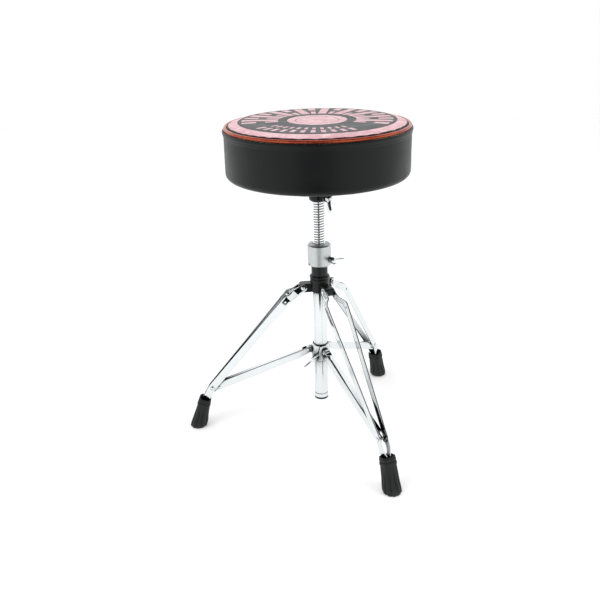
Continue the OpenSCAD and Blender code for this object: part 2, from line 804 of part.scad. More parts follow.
seat_top_cover();
seat_piping();
seat_side_cover();
seat_foam();
seat_board();
seat_bottom_cloth();
seat_staples();
seat_tee_nuts();
seat_plate();
seat_plate_bolts();
seat_receiver();
seat_clamp_bolt();
threaded_spindle();
spindle_guide_bush();
guide_bush_washer();
guide_bush_screw();
centre_tube();
tube_end_cap();
spacer_sleeve();
nut_block();
thread_insert();
block_set_screws();
height_lock_bolt();
leg_hub();
hub_roll_pin();
brace_collar();
collar_lock_bolt();
for (i = [0 : 2]) {
    name = leg_names[i];
    place_leg(i) leg_rail(1);
    place_leg(i) leg_rail(-1);
    place_leg(i) pivot_rivet();
    place_leg(i) brace_rivet();
    place_leg(i) rubber_foot();
    place_leg(i) brace();
    place_leg(i) collar_rivet();
}
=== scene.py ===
import math
import random

import bmesh
import bpy
from mathutils import Matrix, Vector, noise


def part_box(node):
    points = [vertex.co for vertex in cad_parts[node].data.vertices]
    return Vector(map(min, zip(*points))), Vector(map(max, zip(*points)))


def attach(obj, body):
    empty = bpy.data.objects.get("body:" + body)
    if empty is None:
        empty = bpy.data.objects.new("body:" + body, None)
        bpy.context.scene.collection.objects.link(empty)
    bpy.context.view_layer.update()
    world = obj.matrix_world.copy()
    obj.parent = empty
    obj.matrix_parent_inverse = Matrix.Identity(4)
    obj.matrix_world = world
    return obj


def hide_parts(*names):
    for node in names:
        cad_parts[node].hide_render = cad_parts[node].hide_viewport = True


# ---------------------------------------------------------------- frame

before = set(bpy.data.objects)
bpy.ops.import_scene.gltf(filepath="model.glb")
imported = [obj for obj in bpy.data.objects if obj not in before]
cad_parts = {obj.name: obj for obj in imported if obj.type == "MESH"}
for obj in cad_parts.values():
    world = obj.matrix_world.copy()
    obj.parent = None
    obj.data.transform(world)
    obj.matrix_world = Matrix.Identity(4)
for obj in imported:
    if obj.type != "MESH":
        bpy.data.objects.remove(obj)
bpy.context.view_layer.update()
MM = 0.001
TAU = 2 * math.pi
random.seed(11)

LEGS = {"left": 180.0, "front": -60.0, "rear": 60.0}

cord_lo, cord_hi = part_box("seat_piping")
CORD_R = (cord_hi.z - cord_lo.z) / 2
CORD_RING = cord_hi.x - CORD_R
CORD_Z = (cord_hi.z + cord_lo.z) / 2
side_lo, side_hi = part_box("seat_side_cover")
SEAT_R = side_hi.x
SEAT_Z = side_lo.z
TOP_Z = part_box("seat_top_cover")[1].z
BOARD_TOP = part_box("seat_board")[1].z


# ---------------------------------------------------------------- mesh helpers

def finish_mesh(bm, name, smooth=True, flip=True):
    if flip:
        bmesh.ops.recalc_face_normals(bm, faces=bm.faces)
    mesh = bpy.data.meshes.new(name)
    bm.to_mesh(mesh)
    bm.free()
    if smooth:
        mesh.shade_smooth()
    obj = bpy.data.objects.new(name, mesh)
    bpy.context.scene.collection.objects.link(obj)
    return obj


def skin(name, rows, wrap=True, cap_first=False, cap_last=False, smooth=True):
    """Skin over rows of points that all have the same count; wrap joins each row's end to its start."""
    bm = bmesh.new()
    grid = [[bm.verts.new(p) for p in row] for row in rows]
    count = len(grid[0])
    for a, b in zip(grid, grid[1:]):
        for i in range(count if wrap else count - 1):
            j = (i + 1) % count
            bm.faces.new((a[i], a[j], b[j], b[i]))
    if cap_first:
        bm.faces.new(grid[0][::-1])
    if cap_last:
        bm.faces.new(grid[-1])
    return finish_mesh(bm, name, smooth)


def ring_rows(profile, steps):
    """Rows of points on circles around the axis, from (radius, height) pairs."""
    turn = [(math.cos(TAU * i / steps), math.sin(TAU * i / steps)) for i in range(steps)]
    return [[Vector((r * c, r * s, z)) for c, s in turn] for r, z in profile]


def apply_modifiers(obj):
    dg = bpy.context.evaluated_depsgraph_get()
    mesh = bpy.data.meshes.new_from_object(obj.evaluated_get(dg))
    obj.modifiers.clear()
    old = obj.data
    obj.data = mesh
    bpy.data.meshes.remove(old)
    obj.data.name = obj.name
    return obj


def modify(obj, kind, **settings):
    mod = obj.modifiers.new(kind.lower(), kind)
    for key, value in settings.items():
        setattr(mod, key, value)
    return mod


def join(objs, name):
    bm = bmesh.new()
    for o in objs:
        o.data.transform(o.matrix_world)
        bm.from_mesh(o.data)
        bpy.data.objects.remove(o)
    return finish_mesh(bm, name, flip=False)


def arc(cx, cy, r, start, end, steps):
    return [(cx + r * math.cos(math.radians(start + (end - start) * i / steps)),
             cy + r * math.sin(math.radians(start + (end - start) * i / steps))) for i in range(steps + 1)]


def spread(points, step):
    """Points along a line of (x, y) pairs, no further apart than step."""
    out = []
    for a, b in zip(points, points[1:]):
        n = max(1, math.ceil(math.dist(a, b) / step - 1e-6))
        out += [(a[0] + (b[0] - a[0]) * i / n, a[1] + (b[1] - a[1]) * i / n) for i in range(n)]
    return out + [points[-1]]


def turned(obj, az):
    obj.data.transform(Matrix.Rotation(math.radians(az), 4, "Z"))
    return obj


# ---------------------------------------------------------------- material helpers

class Nodes:
    """Short way to write a node tree: each call adds a node and returns its first output."""

    def __init__(self, tree):
        self.tree = tree

    def add(self, kind, props=None, out=0, **inputs):
        node = self.tree.nodes.new(kind)
        for key, value in (props or {}).items():
            setattr(node, key, value)
        for key, value in inputs.items():
            socket = node.inputs[int(key[1:])] if key[0] == "i" and key[1:].isdigit() else node.inputs[key.replace("_", " ")]
            self.put(socket, value)
        return node.outputs[out]

    def put(self, socket, value):
        if isinstance(value, bpy.types.NodeSocket):
            self.tree.links.new(value, socket)
        else:
            socket.default_value = value

    def math(self, op, a, b=0.0, c=0.0, clamp=False):
        return self.add("ShaderNodeMath", {"operation": op, "use_clamp": clamp}, i0=a, i1=b, i2=c)

    def vec(self, op, a, b=(0, 0, 0), out=0):
        return self.add("ShaderNodeVectorMath", {"operation": op}, out, i0=a, i1=b)

    def scale(self, v, s):
        return self.add("ShaderNodeVectorMath", {"operation": "MULTIPLY"}, 0, i0=v, i1=s)

    def noise(self, v, size, detail=2.0, rough=0.5, distort=0.0, out=0):
        """Noise whose features are about size metres across."""
        return self.add("ShaderNodeTexNoise", None, out, Vector=v, Scale=1 / size, Detail=detail, Roughness=rough, Distortion=distort)

    def cells(self, v, size, feature="F1", out=0, random=1.0):
        return self.add("ShaderNodeTexVoronoi", {"feature": feature}, out, Vector=v, Scale=1 / size, Randomness=random)

    def remap(self, v, a, b, lo=0.0, hi=1.0, smooth=True):
        kind = "SMOOTHSTEP" if smooth else "LINEAR"
        return self.add("ShaderNodeMapRange", {"interpolation_type": kind}, 0, i0=v, i1=a, i2=b, i3=lo, i4=hi)

    def mix(self, f, a, b):
        node = self.tree.nodes.new("ShaderNodeMix")
        node.data_type = "RGBA"
        for socket, value in ((node.inputs[0], f), (node.inputs[6], a), (node.inputs[7], b)):
            if not isinstance(value, bpy.types.NodeSocket) and socket.type == "RGBA" and len(value) == 3:
                value = (*value, 1)
            self.put(socket, value)
        return node.outputs[2]

    def bump(self, height, depth, strength=1.0, normal=None):
        """Bump whose height of 1 stands depth metres proud."""
        extra = {"Normal": normal} if normal is not None else {}
        return self.add("ShaderNodeBump", None, 0, Height=height, Distance=depth, Strength=strength, **extra)

    def split(self, v):
        node = self.tree.nodes.new("ShaderNodeSeparateXYZ")
        self.put(node.inputs[0], v)
        return node.outputs

    def joinxyz(self, x, y, z):
        return self.add("ShaderNodeCombineXYZ", None, 0, X=x, Y=y, Z=z)

    def edges(self, width):
        """Soft edges as a normal, and a mask that is 1 on an edge."""
        soft = self.add("ShaderNodeBevel", {"samples": 6}, 0, Radius=width)
        true = self.add("ShaderNodeNewGeometry", None, 1)
        dot = self.vec("DOT_PRODUCT", soft, true, out=1)
        return soft, self.remap(dot, 0.985, 0.85)


def srgb(r, g, b):
    return tuple(((c / 255 + 0.055) / 1.055) ** 2.4 if c > 10 else c / 255 / 12.92 for c in (r, g, b))


def material(name):
    mat = bpy.data.materials.new(name)
    mat.use_nodes = True
    nodes = Nodes(mat.node_tree)
    surface = mat.node_tree.nodes["Principled BSDF"]
    place = nodes.add("ShaderNodeTexCoord", None, 3)
    return mat, nodes, surface, place


def shade(nodes, surface, **inputs):
    for key, value in inputs.items():
        if isinstance(value, tuple) and len(value) == 3:
            value = (*value, 1)
        nodes.put(surface.inputs[key.replace("_", " ")], value)


# ---------------------------------------------------------------- materials

def make_chrome(name, sideways=1.0):
    """Bright plate: faint polishing scratches, a slight waviness, duller edges, and shade painted dark into the colour
    where plate faces plate;
    sideways is how much of that painted shade is left on faces that look to the left or right."""
    mat, n, s, p = material(name)
    # painted shade: ambient occlusion mixes the plate's colour towards near black where it faces other plate
    open_ = n.add("ShaderNodeAmbientOcclusion", {"samples": 8}, 1, Distance=0.05)
    nx, ny, nz = n.split(n.add("ShaderNodeNewGeometry", None, 3))
    painted_shade = n.math("MULTIPLY", n.remap(open_, 0.93, 0.66), n.remap(n.math("ABSOLUTE", ny), 0.6, 0.9, sideways, 1.0))
    painted_shade = n.math("MAXIMUM", painted_shade, n.remap(open_, 0.60, 0.46))
    soft, edge = n.edges(0.0006)
    smear = n.noise(p, 0.03, 3)
    scratch = n.noise(n.scale(p, (1, 1, 14)), 0.004, 3, 0.7)
    rough = n.math("ADD", n.remap(smear, 0.35, 0.7, 0.025, 0.06), n.math("MULTIPLY", edge, 0.10))
    rough = n.math("ADD", rough, n.remap(scratch, 0.62, 0.8, 0.0, 0.05))
    wave = n.bump(n.noise(p, 0.02, 2), 0.00006, 0.5, soft)
    tint = n.mix(smear, srgb(199, 203, 205), srgb(207, 211, 212))
    tint = n.mix(n.math("MULTIPLY", edge, 0.5), tint, srgb(176, 179, 180))
    shade(n, s, Base_Color=n.mix(n.math("MULTIPLY", painted_shade, 0.96), tint, srgb(24, 27, 28)), Metallic=1.0,
          Roughness=rough, Normal=wave)
    return mat


def make_aluminium():
    """Turned and clear-anodised aluminium: fine rings around the axis."""
    mat, n, s, p = material("turned_aluminium")
    soft, edge = n.edges(0.0007)
    x, y, z = n.split(p)
    rings = n.noise(n.joinxyz(0.0, 0.0, z), 0.00035, 3, 0.6)
    cloud = n.noise(p, 0.012, 3)
    rough = n.math("ADD", n.remap(cloud, 0.3, 0.7, 0.34, 0.42), n.math("MULTIPLY", rings, 0.06))
    normal = n.bump(rings, 0.00003, 0.6, soft)
    colour = n.mix(n.math("MULTIPLY", rings, 0.5), srgb(184, 188, 189), srgb(168, 172, 174))
    shade(n, s, Base_Color=n.mix(n.math("MULTIPLY", edge, 0.6), colour, srgb(204, 206, 207)), Metallic=1.0,
          Roughness=rough, Normal=normal, Anisotropic=0.55)
    return mat


def make_enamel(name, colour, rough, peel):
    """Baked black enamel: orange peel, and grey wear where an edge rubs."""
    mat, n, s, p = material(name)
    soft, edge = n.edges(0.0008)
    skin_ = n.noise(p, peel, 2)
    chips = n.remap(n.noise(p, 0.0022, 4, 0.7), 0.56, 0.66)
    worn = n.math("MULTIPLY", n.math("MULTIPLY", edge, chips), 0.55)
    tone = n.mix(n.noise(p, 0.01, 3), colour, tuple(c * 1.5 + 0.002 for c in colour))
    shade(n, s, Base_Color=n.mix(worn, tone, srgb(120, 120, 122)), Roughness=n.remap(skin_, 0.3, 0.7, rough * 0.85, rough * 1.2),
          Normal=n.bump(skin_, 0.00008, 0.35, soft), Coat_Weight=0.06, Coat_Roughness=0.12, Specular_IOR_Level=0.16)
    return mat


def make_side_vinyl():
    """Black upholstery vinyl with a fine pressed leather grain."""
    mat, n, s, p = material("side_vinyl")
    warp = n.vec("ADD", p, n.scale(n.noise(p, 0.006, 2, out=1), (0.0012, 0.0012, 0.0012)))
    cell = n.cells(warp, 0.0013, "DISTANCE_TO_EDGE")
    pores = n.noise(p, 0.0004, 2)
    crease = n.remap(cell, 0.0, 0.22)
    height = n.math("ADD", crease, n.math("MULTIPLY", pores, 0.25))
    broad = n.noise(p, 0.05, 3)
    # painted shade: the grain's creases are mixed darker than its tops
    colour = n.mix(crease, srgb(7, 9, 9), srgb(13, 17, 17))
    colour = n.mix(n.remap(broad, 0.35, 0.7, 0.0, 0.35), colour, srgb(18, 23, 23))
    rough = n.math("ADD", n.remap(broad, 0.3, 0.7, 0.36, 0.44), n.math("MULTIPLY", pores, 0.06))
    shade(n, s, Base_Color=colour, Roughness=rough, Normal=n.bump(height, 0.00006, 0.6), Specular_IOR_Level=0.17,
          Sheen_Weight=0.02, Sheen_Roughness=0.4)
    return mat


def make_top_vinyl():
    """Printed vinyl, rose on charcoal: rings, an arc of plain bars, and two short rows of dashes opposite it."""
    mat, n, s, p = material("printed_vinyl")
    x, y, z = n.split(p)
    flat = n.joinxyz(x, y, 0.0)
    wobble = n.math("MULTIPLY", n.math("SUBTRACT", n.noise(p, 0.012, 3), 0.5), 0.0008)
    r = n.math("ADD", n.vec("LENGTH", flat, out=1), wobble)
    angle = n.math("ARCTAN2", y, x)

    def band(value, a, b, soft=0.0004):
        return n.math("MULTIPLY", n.remap(value, a - soft, a + soft), n.remap(value, b - soft, b + soft, 1.0, 0.0))

    def bars(count, a, b, fill, shift=0.0):
        """count bars around the middle, from radius a to b, each with a straight sided outline."""
        turn = n.math("ADD", n.math("MULTIPLY", angle, count / TAU), shift + count)
        near = n.math("ABSOLUTE", n.math("SUBTRACT", n.math("FRACT", turn), 0.5))
        across = n.math("MULTIPLY", near, n.math("MULTIPLY", r, TAU / count))
        half = fill * TAU / count * (a + b) / 4
        inside = n.remap(across, half - 0.0004, half + 0.0004, 1.0, 0.0)
        rim = n.remap(across, half + 0.0008, half + 0.0016, 1.0, 0.0)
        return n.math("MULTIPLY", inside, band(r, a, b)), n.math("MULTIPLY", rim, band(r, a - 0.0013, b + 0.0013))

    def sector(middle, half):
        """1 within half degrees of the direction middle."""
        lean = n.math("COSINE", n.math("SUBTRACT", angle, math.radians(middle)))
        limit = math.cos(math.radians(half))
        return n.remap(lean, limit - 0.004, limit + 0.004)

    upper, lower = sector(84, 114), sector(-100, 44)
    shapes = [(upper, bars(15, 0.072, 0.139, 0.36)), (upper, bars(15, 0.112, 0.139, 0.26, 0.5)),
              (upper, bars(15, 0.072, 0.096, 0.26, 0.5)), (lower, bars(45, 0.088, 0.104, 0.44)),
              (lower, bars(45, 0.114, 0.134, 0.48))]
    rose = n.math("MAXIMUM", band(r, 0.1460, 0.1628), n.math("MAXIMUM", band(r, 0.0405, 0.0550), band(r, -1.0, 0.0392)))
    lines = n.math("MAXIMUM", band(r, 0.0394, 0.0403), n.math("MAXIMUM", band(r, 0.1446, 0.1459), band(r, 0.1629, 0.2)))
    for where, (fill_, rim_) in shapes:
        rose = n.math("MAXIMUM", rose, n.math("MULTIPLY", fill_, where))
        lines = n.math("MAXIMUM", lines, n.math("MULTIPLY", n.math("SUBTRACT", rim_, fill_, clamp=True), where))
    marble = n.noise(p, 0.03, 5, 0.62, 0.6)
    veins = n.remap(n.math("ABSOLUTE", n.math("SUBTRACT", n.noise(p, 0.018, 4, 0.6, 1.1), 0.5)), 0.0, 0.05, 1.0, 0.0)
    pink = n.mix(n.remap(marble, 0.34, 0.66), srgb(204, 158, 166), srgb(228, 194, 199))
    pink = n.mix(n.math("MULTIPLY", veins, 0.35), pink, srgb(188, 134, 142))
    char = n.mix(n.remap(marble, 0.4, 0.7), srgb(50, 54, 56), srgb(66, 69, 70))
    char = n.mix(lines, char, srgb(20, 20, 22))
    colour = n.mix(rose, char, pink)
    cell = n.cells(p, 0.0014, "DISTANCE_TO_EDGE")
    grain = n.remap(cell, 0.0, 0.2)
    ink = n.math("MULTIPLY", n.math("MAXIMUM", rose, lines), 0.8)
    shade(n, s, Base_Color=colour, Roughness=n.remap(marble, 0.3, 0.7, 0.36, 0.5),
          Normal=n.bump(n.math("ADD", grain, ink), 0.00005, 0.5), Specular_IOR_Level=0.10)
    return mat


def make_piping():
    """Copper foil vinyl over a cord, with the foil's fine crinkle, and glints painted lighter into its colour on the
    crinkle's peaks.
    """
    mat, n, s, p = material("copper_piping")
    crinkle_and_glint = n.noise(p, 0.0035, 3, 0.6)
    broad = n.noise(p, 0.03, 2)
    colour = n.mix(n.remap(broad, 0.35, 0.65), srgb(160, 70, 46), srgb(138, 54, 36))
    # painted highlight: the crinkle's peaks are mixed towards light copper as glints
    colour = n.mix(n.math("MULTIPLY", n.remap(crinkle_and_glint, 0.55, 0.8), 0.4), colour, srgb(196, 116, 88))
    shade(n, s, Base_Color=colour, Metallic=0.72, Roughness=n.remap(crinkle_and_glint, 0.3, 0.7, 0.24, 0.36),
          Normal=n.bump(crinkle_and_glint, 0.0004, 0.35), Specular_IOR_Level=0.3)
    return mat


def make_rubber():
    """Moulded black rubber: matt, finely pitted, with dust near the floor."""
    mat, n, s, p = material("foot_rubber")
    x, y, z = n.split(p)
    pits = n.noise(p, 0.0007, 4, 0.65)
    cloud = n.noise(p, 0.009, 3)
    dust = n.math("MULTIPLY", n.remap(z, 0.014, 0.0), n.remap(n.noise(p, 0.004, 4, 0.7), 0.45, 0.7))
    colour = n.mix(cloud, srgb(26, 27, 27), srgb(38, 39, 39))
    colour = n.mix(n.math("MULTIPLY", dust, 0.4), colour, srgb(104, 100, 94))
    shade(n, s, Base_Color=colour, Roughness=n.remap(pits, 0.3, 0.7, 0.52, 0.68), Normal=n.bump(pits, 0.00012, 0.5),
          Specular_IOR_Level=0.2)
    return mat


def make_thread_steel():
    """Rolled and plated thread: bright crests, and roots painted darker as shade."""
    mat, n, s, p = material("thread_steel")
    x, y, z = n.split(p)
    r = n.vec("LENGTH", n.joinxyz(x, y, 0.0), out=1)
    # painted shade: the colour darkens towards the thread's roots
    root = n.remap(r, 0.0114, 0.0100)
    line = n.noise(n.scale(p, (1, 1, 5)), 0.0015, 3, 0.6)
    colour = n.mix(n.math("MULTIPLY", root, 0.75), srgb(232, 234, 235), srgb(92, 95, 97))
    colour = n.mix(n.remap(line, 0.62, 0.8, 0.0, 0.4), colour, srgb(150, 150, 150))
    shade(n, s, Base_Color=colour, Metallic=1.0, Roughness=n.math("ADD", n.remap(line, 0.3, 0.7, 0.08, 0.16), n.math("MULTIPLY", root, 0.16)),
          Normal=n.bump(line, 0.00004, 0.4))
    return mat


def make_zinc():
    """Zinc plate: spangled patches with a faint warm and blue cast."""
    mat, n, s, p = material("zinc_plate")
    soft, edge = n.edges(0.0004)
    cell = n.cells(p, 0.0035, "F1", 1)
    cloud = n.noise(p, 0.006, 3)
    colour = n.mix(n.remap(cloud, 0.4, 0.6), srgb(196, 200, 206), srgb(206, 202, 190))
    colour = n.mix(0.12, colour, cell)
    shade(n, s, Base_Color=n.mix(n.math("MULTIPLY", edge, 0.5), colour, srgb(228, 228, 226)), Metallic=1.0,
          Roughness=n.remap(cloud, 0.3, 0.7, 0.24, 0.4), Normal=soft)
    return mat


def make_black_oxide():
    """Black-oxide steel with an oily, slightly brown cast."""
    mat, n, s, p = material("black_oxide_steel")
    soft, edge = n.edges(0.0003)
    cloud = n.noise(p, 0.002, 3)
    colour = n.mix(cloud, srgb(38, 36, 35), srgb(58, 56, 54))
    shade(n, s, Base_Color=n.mix(n.math("MULTIPLY", edge, 0.6), colour, srgb(140, 138, 134)), Metallic=0.85,
          Roughness=n.remap(cloud, 0.3, 0.7, 0.3, 0.42), Normal=n.bump(cloud, 0.00003, 0.4, soft))
    return mat


def make_powder_coat():
    """Black powder coat, with its fine pebbled texture."""
    mat, n, s, p = material("black_powder_coat")
    soft, edge = n.edges(0.0005)
    pebble = n.noise(p, 0.0011, 3, 0.55)
    colour = n.mix(pebble, srgb(17, 18, 18), srgb(31, 32, 33))
    shade(n, s, Base_Color=n.mix(n.math("MULTIPLY", edge, 0.25), colour, srgb(84, 84, 85)), Roughness=n.remap(pebble, 0.3, 0.7, 0.42, 0.6),
          Normal=n.bump(pebble, 0.00016, 0.5, soft), Specular_IOR_Level=0.2)
    return mat


def make_plastic(name, base):
    """Moulded plastic with a fine spark-eroded texture."""
    mat, n, s, p = material(name)
    soft, edge = n.edges(0.0005)
    fine = n.noise(p, 0.0005, 3, 0.6)
    cloud = n.noise(p, 0.01, 2)
    lighter = tuple(min(1, c * 1.35 + 0.003) for c in base)
    shade(n, s, Base_Color=n.mix(cloud, base, lighter), Roughness=n.remap(fine, 0.3, 0.7, 0.26, 0.4),
          Normal=n.bump(fine, 0.00003, 0.5, soft), Specular_IOR_Level=0.18)
    return mat


def make_brass():
    mat, n, s, p = material("insert_brass")
    soft, edge = n.edges(0.0004)
    cloud = n.noise(p, 0.005, 3)
    colour = n.mix(cloud, srgb(196, 154, 84), srgb(214, 178, 108))
    shade(n, s, Base_Color=n.mix(n.math("MULTIPLY", edge, 0.5), colour, srgb(232, 206, 142)), Metallic=1.0,
          Roughness=n.remap(cloud, 0.3, 0.7, 0.2, 0.34), Normal=n.bump(n.noise(p, 0.0008, 2), 0.00002, 0.5, soft))
    return mat


def make_plywood():
    """Birch plywood: veneers seen on the edge, long grain on the faces."""
    mat, n, s, p = material("plywood")
    x, y, z = n.split(p)
    ply = n.math("FRACT", n.math("MULTIPLY", n.math("SUBTRACT", z, 0.5502), 1 / 0.0034))
    across = n.remap(n.math("ABSOLUTE", n.math("SUBTRACT", ply, 0.5)), 0.24, 0.27)
    grain = n.noise(n.scale(p, (1, 14, 14)), 0.02, 5, 0.6, 0.4)
    cross = n.noise(n.scale(p, (14, 1, 14)), 0.02, 5, 0.6, 0.4)
    long_ = n.mix(grain, srgb(205, 172, 126), srgb(226, 199, 156))
    dark = n.mix(cross, srgb(166, 130, 88), srgb(190, 155, 110))
    shade(n, s, Base_Color=n.mix(across, long_, dark), Roughness=0.72, Normal=n.bump(grain, 0.0001, 0.4))
    return mat


def make_foam():
    """Open-cell foam."""
    mat, n, s, p = material("seat_foam")
    cell = n.cells(p, 0.0016)
    cloud = n.noise(p, 0.03, 3)
    colour = n.mix(cloud, srgb(222, 206, 158), srgb(236, 224, 184))
    # painted shade: the colour darkens in the pits at the middle of each cell
    shade(n, s, Base_Color=n.mix(n.remap(cell, 0.0, 0.5), srgb(170, 150, 104), colour), Roughness=0.95,
          Normal=n.bump(cell, 0.0006, 0.7))
    return mat


def make_dust_cloth():
    """Black spun-bonded cloth: a grid of pressed dots over random fibres."""
    mat, n, s, p = material("dust_cloth")
    dots = n.remap(n.cells(p, 0.0022, "F1", 0, 0.0), 0.18, 0.34)
    fibre = n.noise(n.scale(p, (1, 5, 1)), 0.004, 5, 0.7, 1.4)
    fibre2 = n.noise(n.scale(p, (5, 1, 1)), 0.004, 5, 0.7, 1.4)
    both = n.math("MAXIMUM", fibre, fibre2)
    colour = n.mix(n.remap(both, 0.45, 0.75), srgb(16, 16, 18), srgb(44, 44, 47))
    shade(n, s, Base_Color=n.mix(dots, srgb(10, 10, 11), colour), Roughness=0.88,
          Normal=n.bump(n.math("ADD", n.math("MULTIPLY", dots, 0.6), both), 0.00025, 0.5), Sheen_Weight=0.15)
    return mat


CHROME = make_chrome("chrome_plate")
RAIL_CHROME = make_chrome("rail_chrome_plate", 0.3)
ALUMINIUM = make_aluminium()
ENAMEL = make_enamel("gloss_enamel", srgb(15, 17, 17), 0.24, 0.0035)
SIDE_VINYL = make_side_vinyl()
TOP_VINYL = make_top_vinyl()
PIPING = make_piping()
RUBBER = make_rubber()
THREAD_STEEL = make_thread_steel()
ZINC = make_zinc()
OXIDE = make_black_oxide()
POWDER = make_powder_coat()
BLACK_PLASTIC = make_plastic("black_plastic", srgb(22, 24, 25))
NYLON = make_plastic("white_nylon", srgb(214, 211, 200))
BRASS = make_brass()
PLYWOOD = make_plywood()
FOAM = make_foam()
DUST_CLOTH = make_dust_cloth()

SLOT_FINISH = {
    "vinyl_top": TOP_VINYL, "vinyl_side": SIDE_VINYL, "piping": PIPING, "foam": FOAM, "plywood": PLYWOOD,
    "dust_cloth": DUST_CLOTH, "staple_steel": ZINC, "zinc_steel": ZINC, "black_steel": POWDER,
    "black_casting": ENAMEL, "chrome": CHROME, "screw_steel": THREAD_STEEL, "nylon": NYLON,
    "dark_steel": OXIDE, "black_plastic": BLACK_PLASTIC, "aluminium": ALUMINIUM, "brass": BRASS, "rubber": RUBBER,
}
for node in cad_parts.values():
    for place in node.material_slots:
        place.material = SLOT_FINISH[place.material.name.split(".")[0]]


def piece(obj, finish, body, slot, *nodes):
    """Gives a new piece its finish and its body, and hides the CAD nodes it stands for."""
    obj.data.materials.clear()
    obj.data.materials.append(finish)
    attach(obj, body)
    if nodes:
        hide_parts(*nodes)
    return obj


# ---------------------------------------------------------------- seat cushion

COLS = 240
CREASE_Z = CORD_Z - 10 * MM


def inflate(obj, pinned, cap, pressure=4.0, frames=20):
    """Fills a closed cover with pressure, its seams held, and keeps each point within cap of its start."""
    start = [v.co.copy() for v in obj.data.vertices]
    group = obj.vertex_groups.new(name="seams")
    group.add(pinned, 1.0, "REPLACE")
    mod = obj.modifiers.new("cloth", "CLOTH")
    cloth = mod.settings
    cloth.quality = 7
    cloth.mass = 0.3
    cloth.vertex_group_mass = "seams"
    cloth.tension_stiffness = cloth.compression_stiffness = 18
    cloth.bending_stiffness = 3.0
    cloth.use_pressure = True
    cloth.uniform_pressure_force = pressure
    cloth.effector_weights.gravity = 0
    mod.collision_settings.use_collision = False
    mod.point_cache.frame_start, mod.point_cache.frame_end = 1, frames
    for f in range(1, frames + 1):
        bpy.context.scene.frame_set(f)
    shape = obj.evaluated_get(bpy.context.evaluated_depsgraph_get()).to_mesh()
    moved = [v.co.copy() for v in shape.vertices]
    obj.modifiers.clear()
    for v, a, b in zip(obj.data.vertices, start, moved):
        step = b - a
        v.co = a + step * (math.tanh(step.length / cap) * cap / step.length if step.length > 1e-9 else 1)
    bpy.context.scene.frame_set(1)


def cushion_line():
    """(radius, height, held) down the outside of the cushion, from the middle of the top to the underside."""
    step = 4.6 * MM
    edge = CORD_RING - CORD_R + 0.6 * MM
    edge_z = CORD_Z + 1.4 * MM
    shoulder, shoulder_w, crown = 5.2 * MM, 9 * MM, 1.0 * MM

    def top_at(r):
        """Height of the top panel: a slight crown inside, and a rounded shoulder down to the piping."""
        fall = max(0.0, (r - edge + shoulder_w) / shoulder_w)
        return edge_z + crown * (1 - (r / edge) ** 2) + shoulder * math.sqrt(max(0.0, 1 - fall ** 2.4))

    inner = spread([(4 * MM, 0), (edge - shoulder_w, 0)], step) + spread([(edge - shoulder_w + 2 * MM, 0), (edge - 0.6 * MM, 0)], 2 * MM)
    top = [(r, top_at(r)) for r, _ in inner]
    line = [(r, z, False) for r, z in top]
    line += [(edge, edge_z - 0.2 * MM, True), (edge - 0.4 * MM, CORD_Z - 1.5 * MM, True),
             (CORD_RING - 0.6 * MM, CORD_Z - CORD_R - 0.4 * MM, True),
             (CORD_RING + 2.8 * MM, CORD_Z - CORD_R + 0.9 * MM, True)]
    lip = [(CORD_RING + 4.9 * MM, CORD_Z - 2.2 * MM), (CORD_RING + 6.0 * MM, CORD_Z - 4.2 * MM),
           (CORD_RING + 6.2 * MM, CORD_Z - 6.6 * MM), (CORD_RING + 5.6 * MM, CORD_Z - 8.9 * MM)]
    line += [(r, z, False) for r, z in lip]
    line.append((CORD_RING + 4.6 * MM, CREASE_Z, True))
    wall_r = SEAT_R - 2.0 * MM
    base = 11 * MM
    wall = [(CORD_RING + 5.3 * MM, CREASE_Z - 1.4 * MM), (wall_r - 0.2 * MM, CREASE_Z - 4 * MM)]
    wall += spread([(wall_r, CREASE_Z - 8 * MM), (wall_r, SEAT_Z + base)], step)
    wall += arc(wall_r - base, SEAT_Z + base, base, -8, -82, 5)
    line += [(r, z, False) for r, z in wall]
    line += [(wall_r - base - 1 * MM, SEAT_Z + 0.1 * MM, True), (wall_r - base - 5 * MM, SEAT_Z, True),
             (SEAT_R - 25 * MM, SEAT_Z, True)]
    return line


line = cushion_line()
rows = ring_rows([(r, z) for r, z, _ in line], COLS)
held_top = [i for i, p in enumerate(line) if p[2]][0]
for k, (row, (r, z, held)) in enumerate(zip(rows, line)):
    for i, p in enumerate(row):
        a = TAU * i / COLS
        if not held:
            pull = noise.noise(Vector((math.cos(a) * 2.2, math.sin(a) * 2.2, z * 30)))
            row[i] = p + Vector((math.cos(a), math.sin(a), 0.3)) * pull * 0.5 * MM
        elif abs(z - CREASE_Z) < 1e-6:
            gather = noise.noise(Vector((math.cos(a) * 14, math.sin(a) * 14, 3)))
            row[i] = p + Vector((math.cos(a), math.sin(a), 0)) * gather * 0.35 * MM
shell = skin("cushion_shell", rows, cap_first=True, cap_last=True)
held_rows = [i for i, p in enumerate(line) if p[2]]
pinned = [k * COLS + i for k in held_rows for i in range(COLS)]
inflate(shell, pinned, 3.2 * MM)
filled = [[shell.data.vertices[k * COLS + i].co.copy() for i in range(COLS)] for k in range(len(line))]
bpy.data.objects.remove(shell)


def outward(obj):
    """Turns the faces of an open panel outwards, away from the middle of the cushion."""
    centre = Vector((0, 0, (SEAT_Z + TOP_Z) / 2))
    score = sum((p.center - centre).dot(p.normal) * p.area for p in obj.data.polygons)
    if score < 0:
        obj.data.flip_normals()
    return obj


def panel(name, first, last, cap):
    obj = outward(skin(name, filled[first:last + 1], cap_first=cap))
    modify(obj, "SUBSURF", levels=1, render_levels=1)
    modify(obj, "SOLIDIFY", thickness=1.1 * MM, offset=-1.0)
    return apply_modifiers(obj)


top_panel = panel("seat_top_panel", 0, held_top + 1, True)
piece(top_panel, TOP_VINYL, "seat", "vinyl_top", "seat_top_cover")
side_panel = panel("seat_side_band", held_top + 1, len(line) - 1, False)
piece(side_panel, SIDE_VINYL, "seat", "vinyl_side", "seat_side_cover")


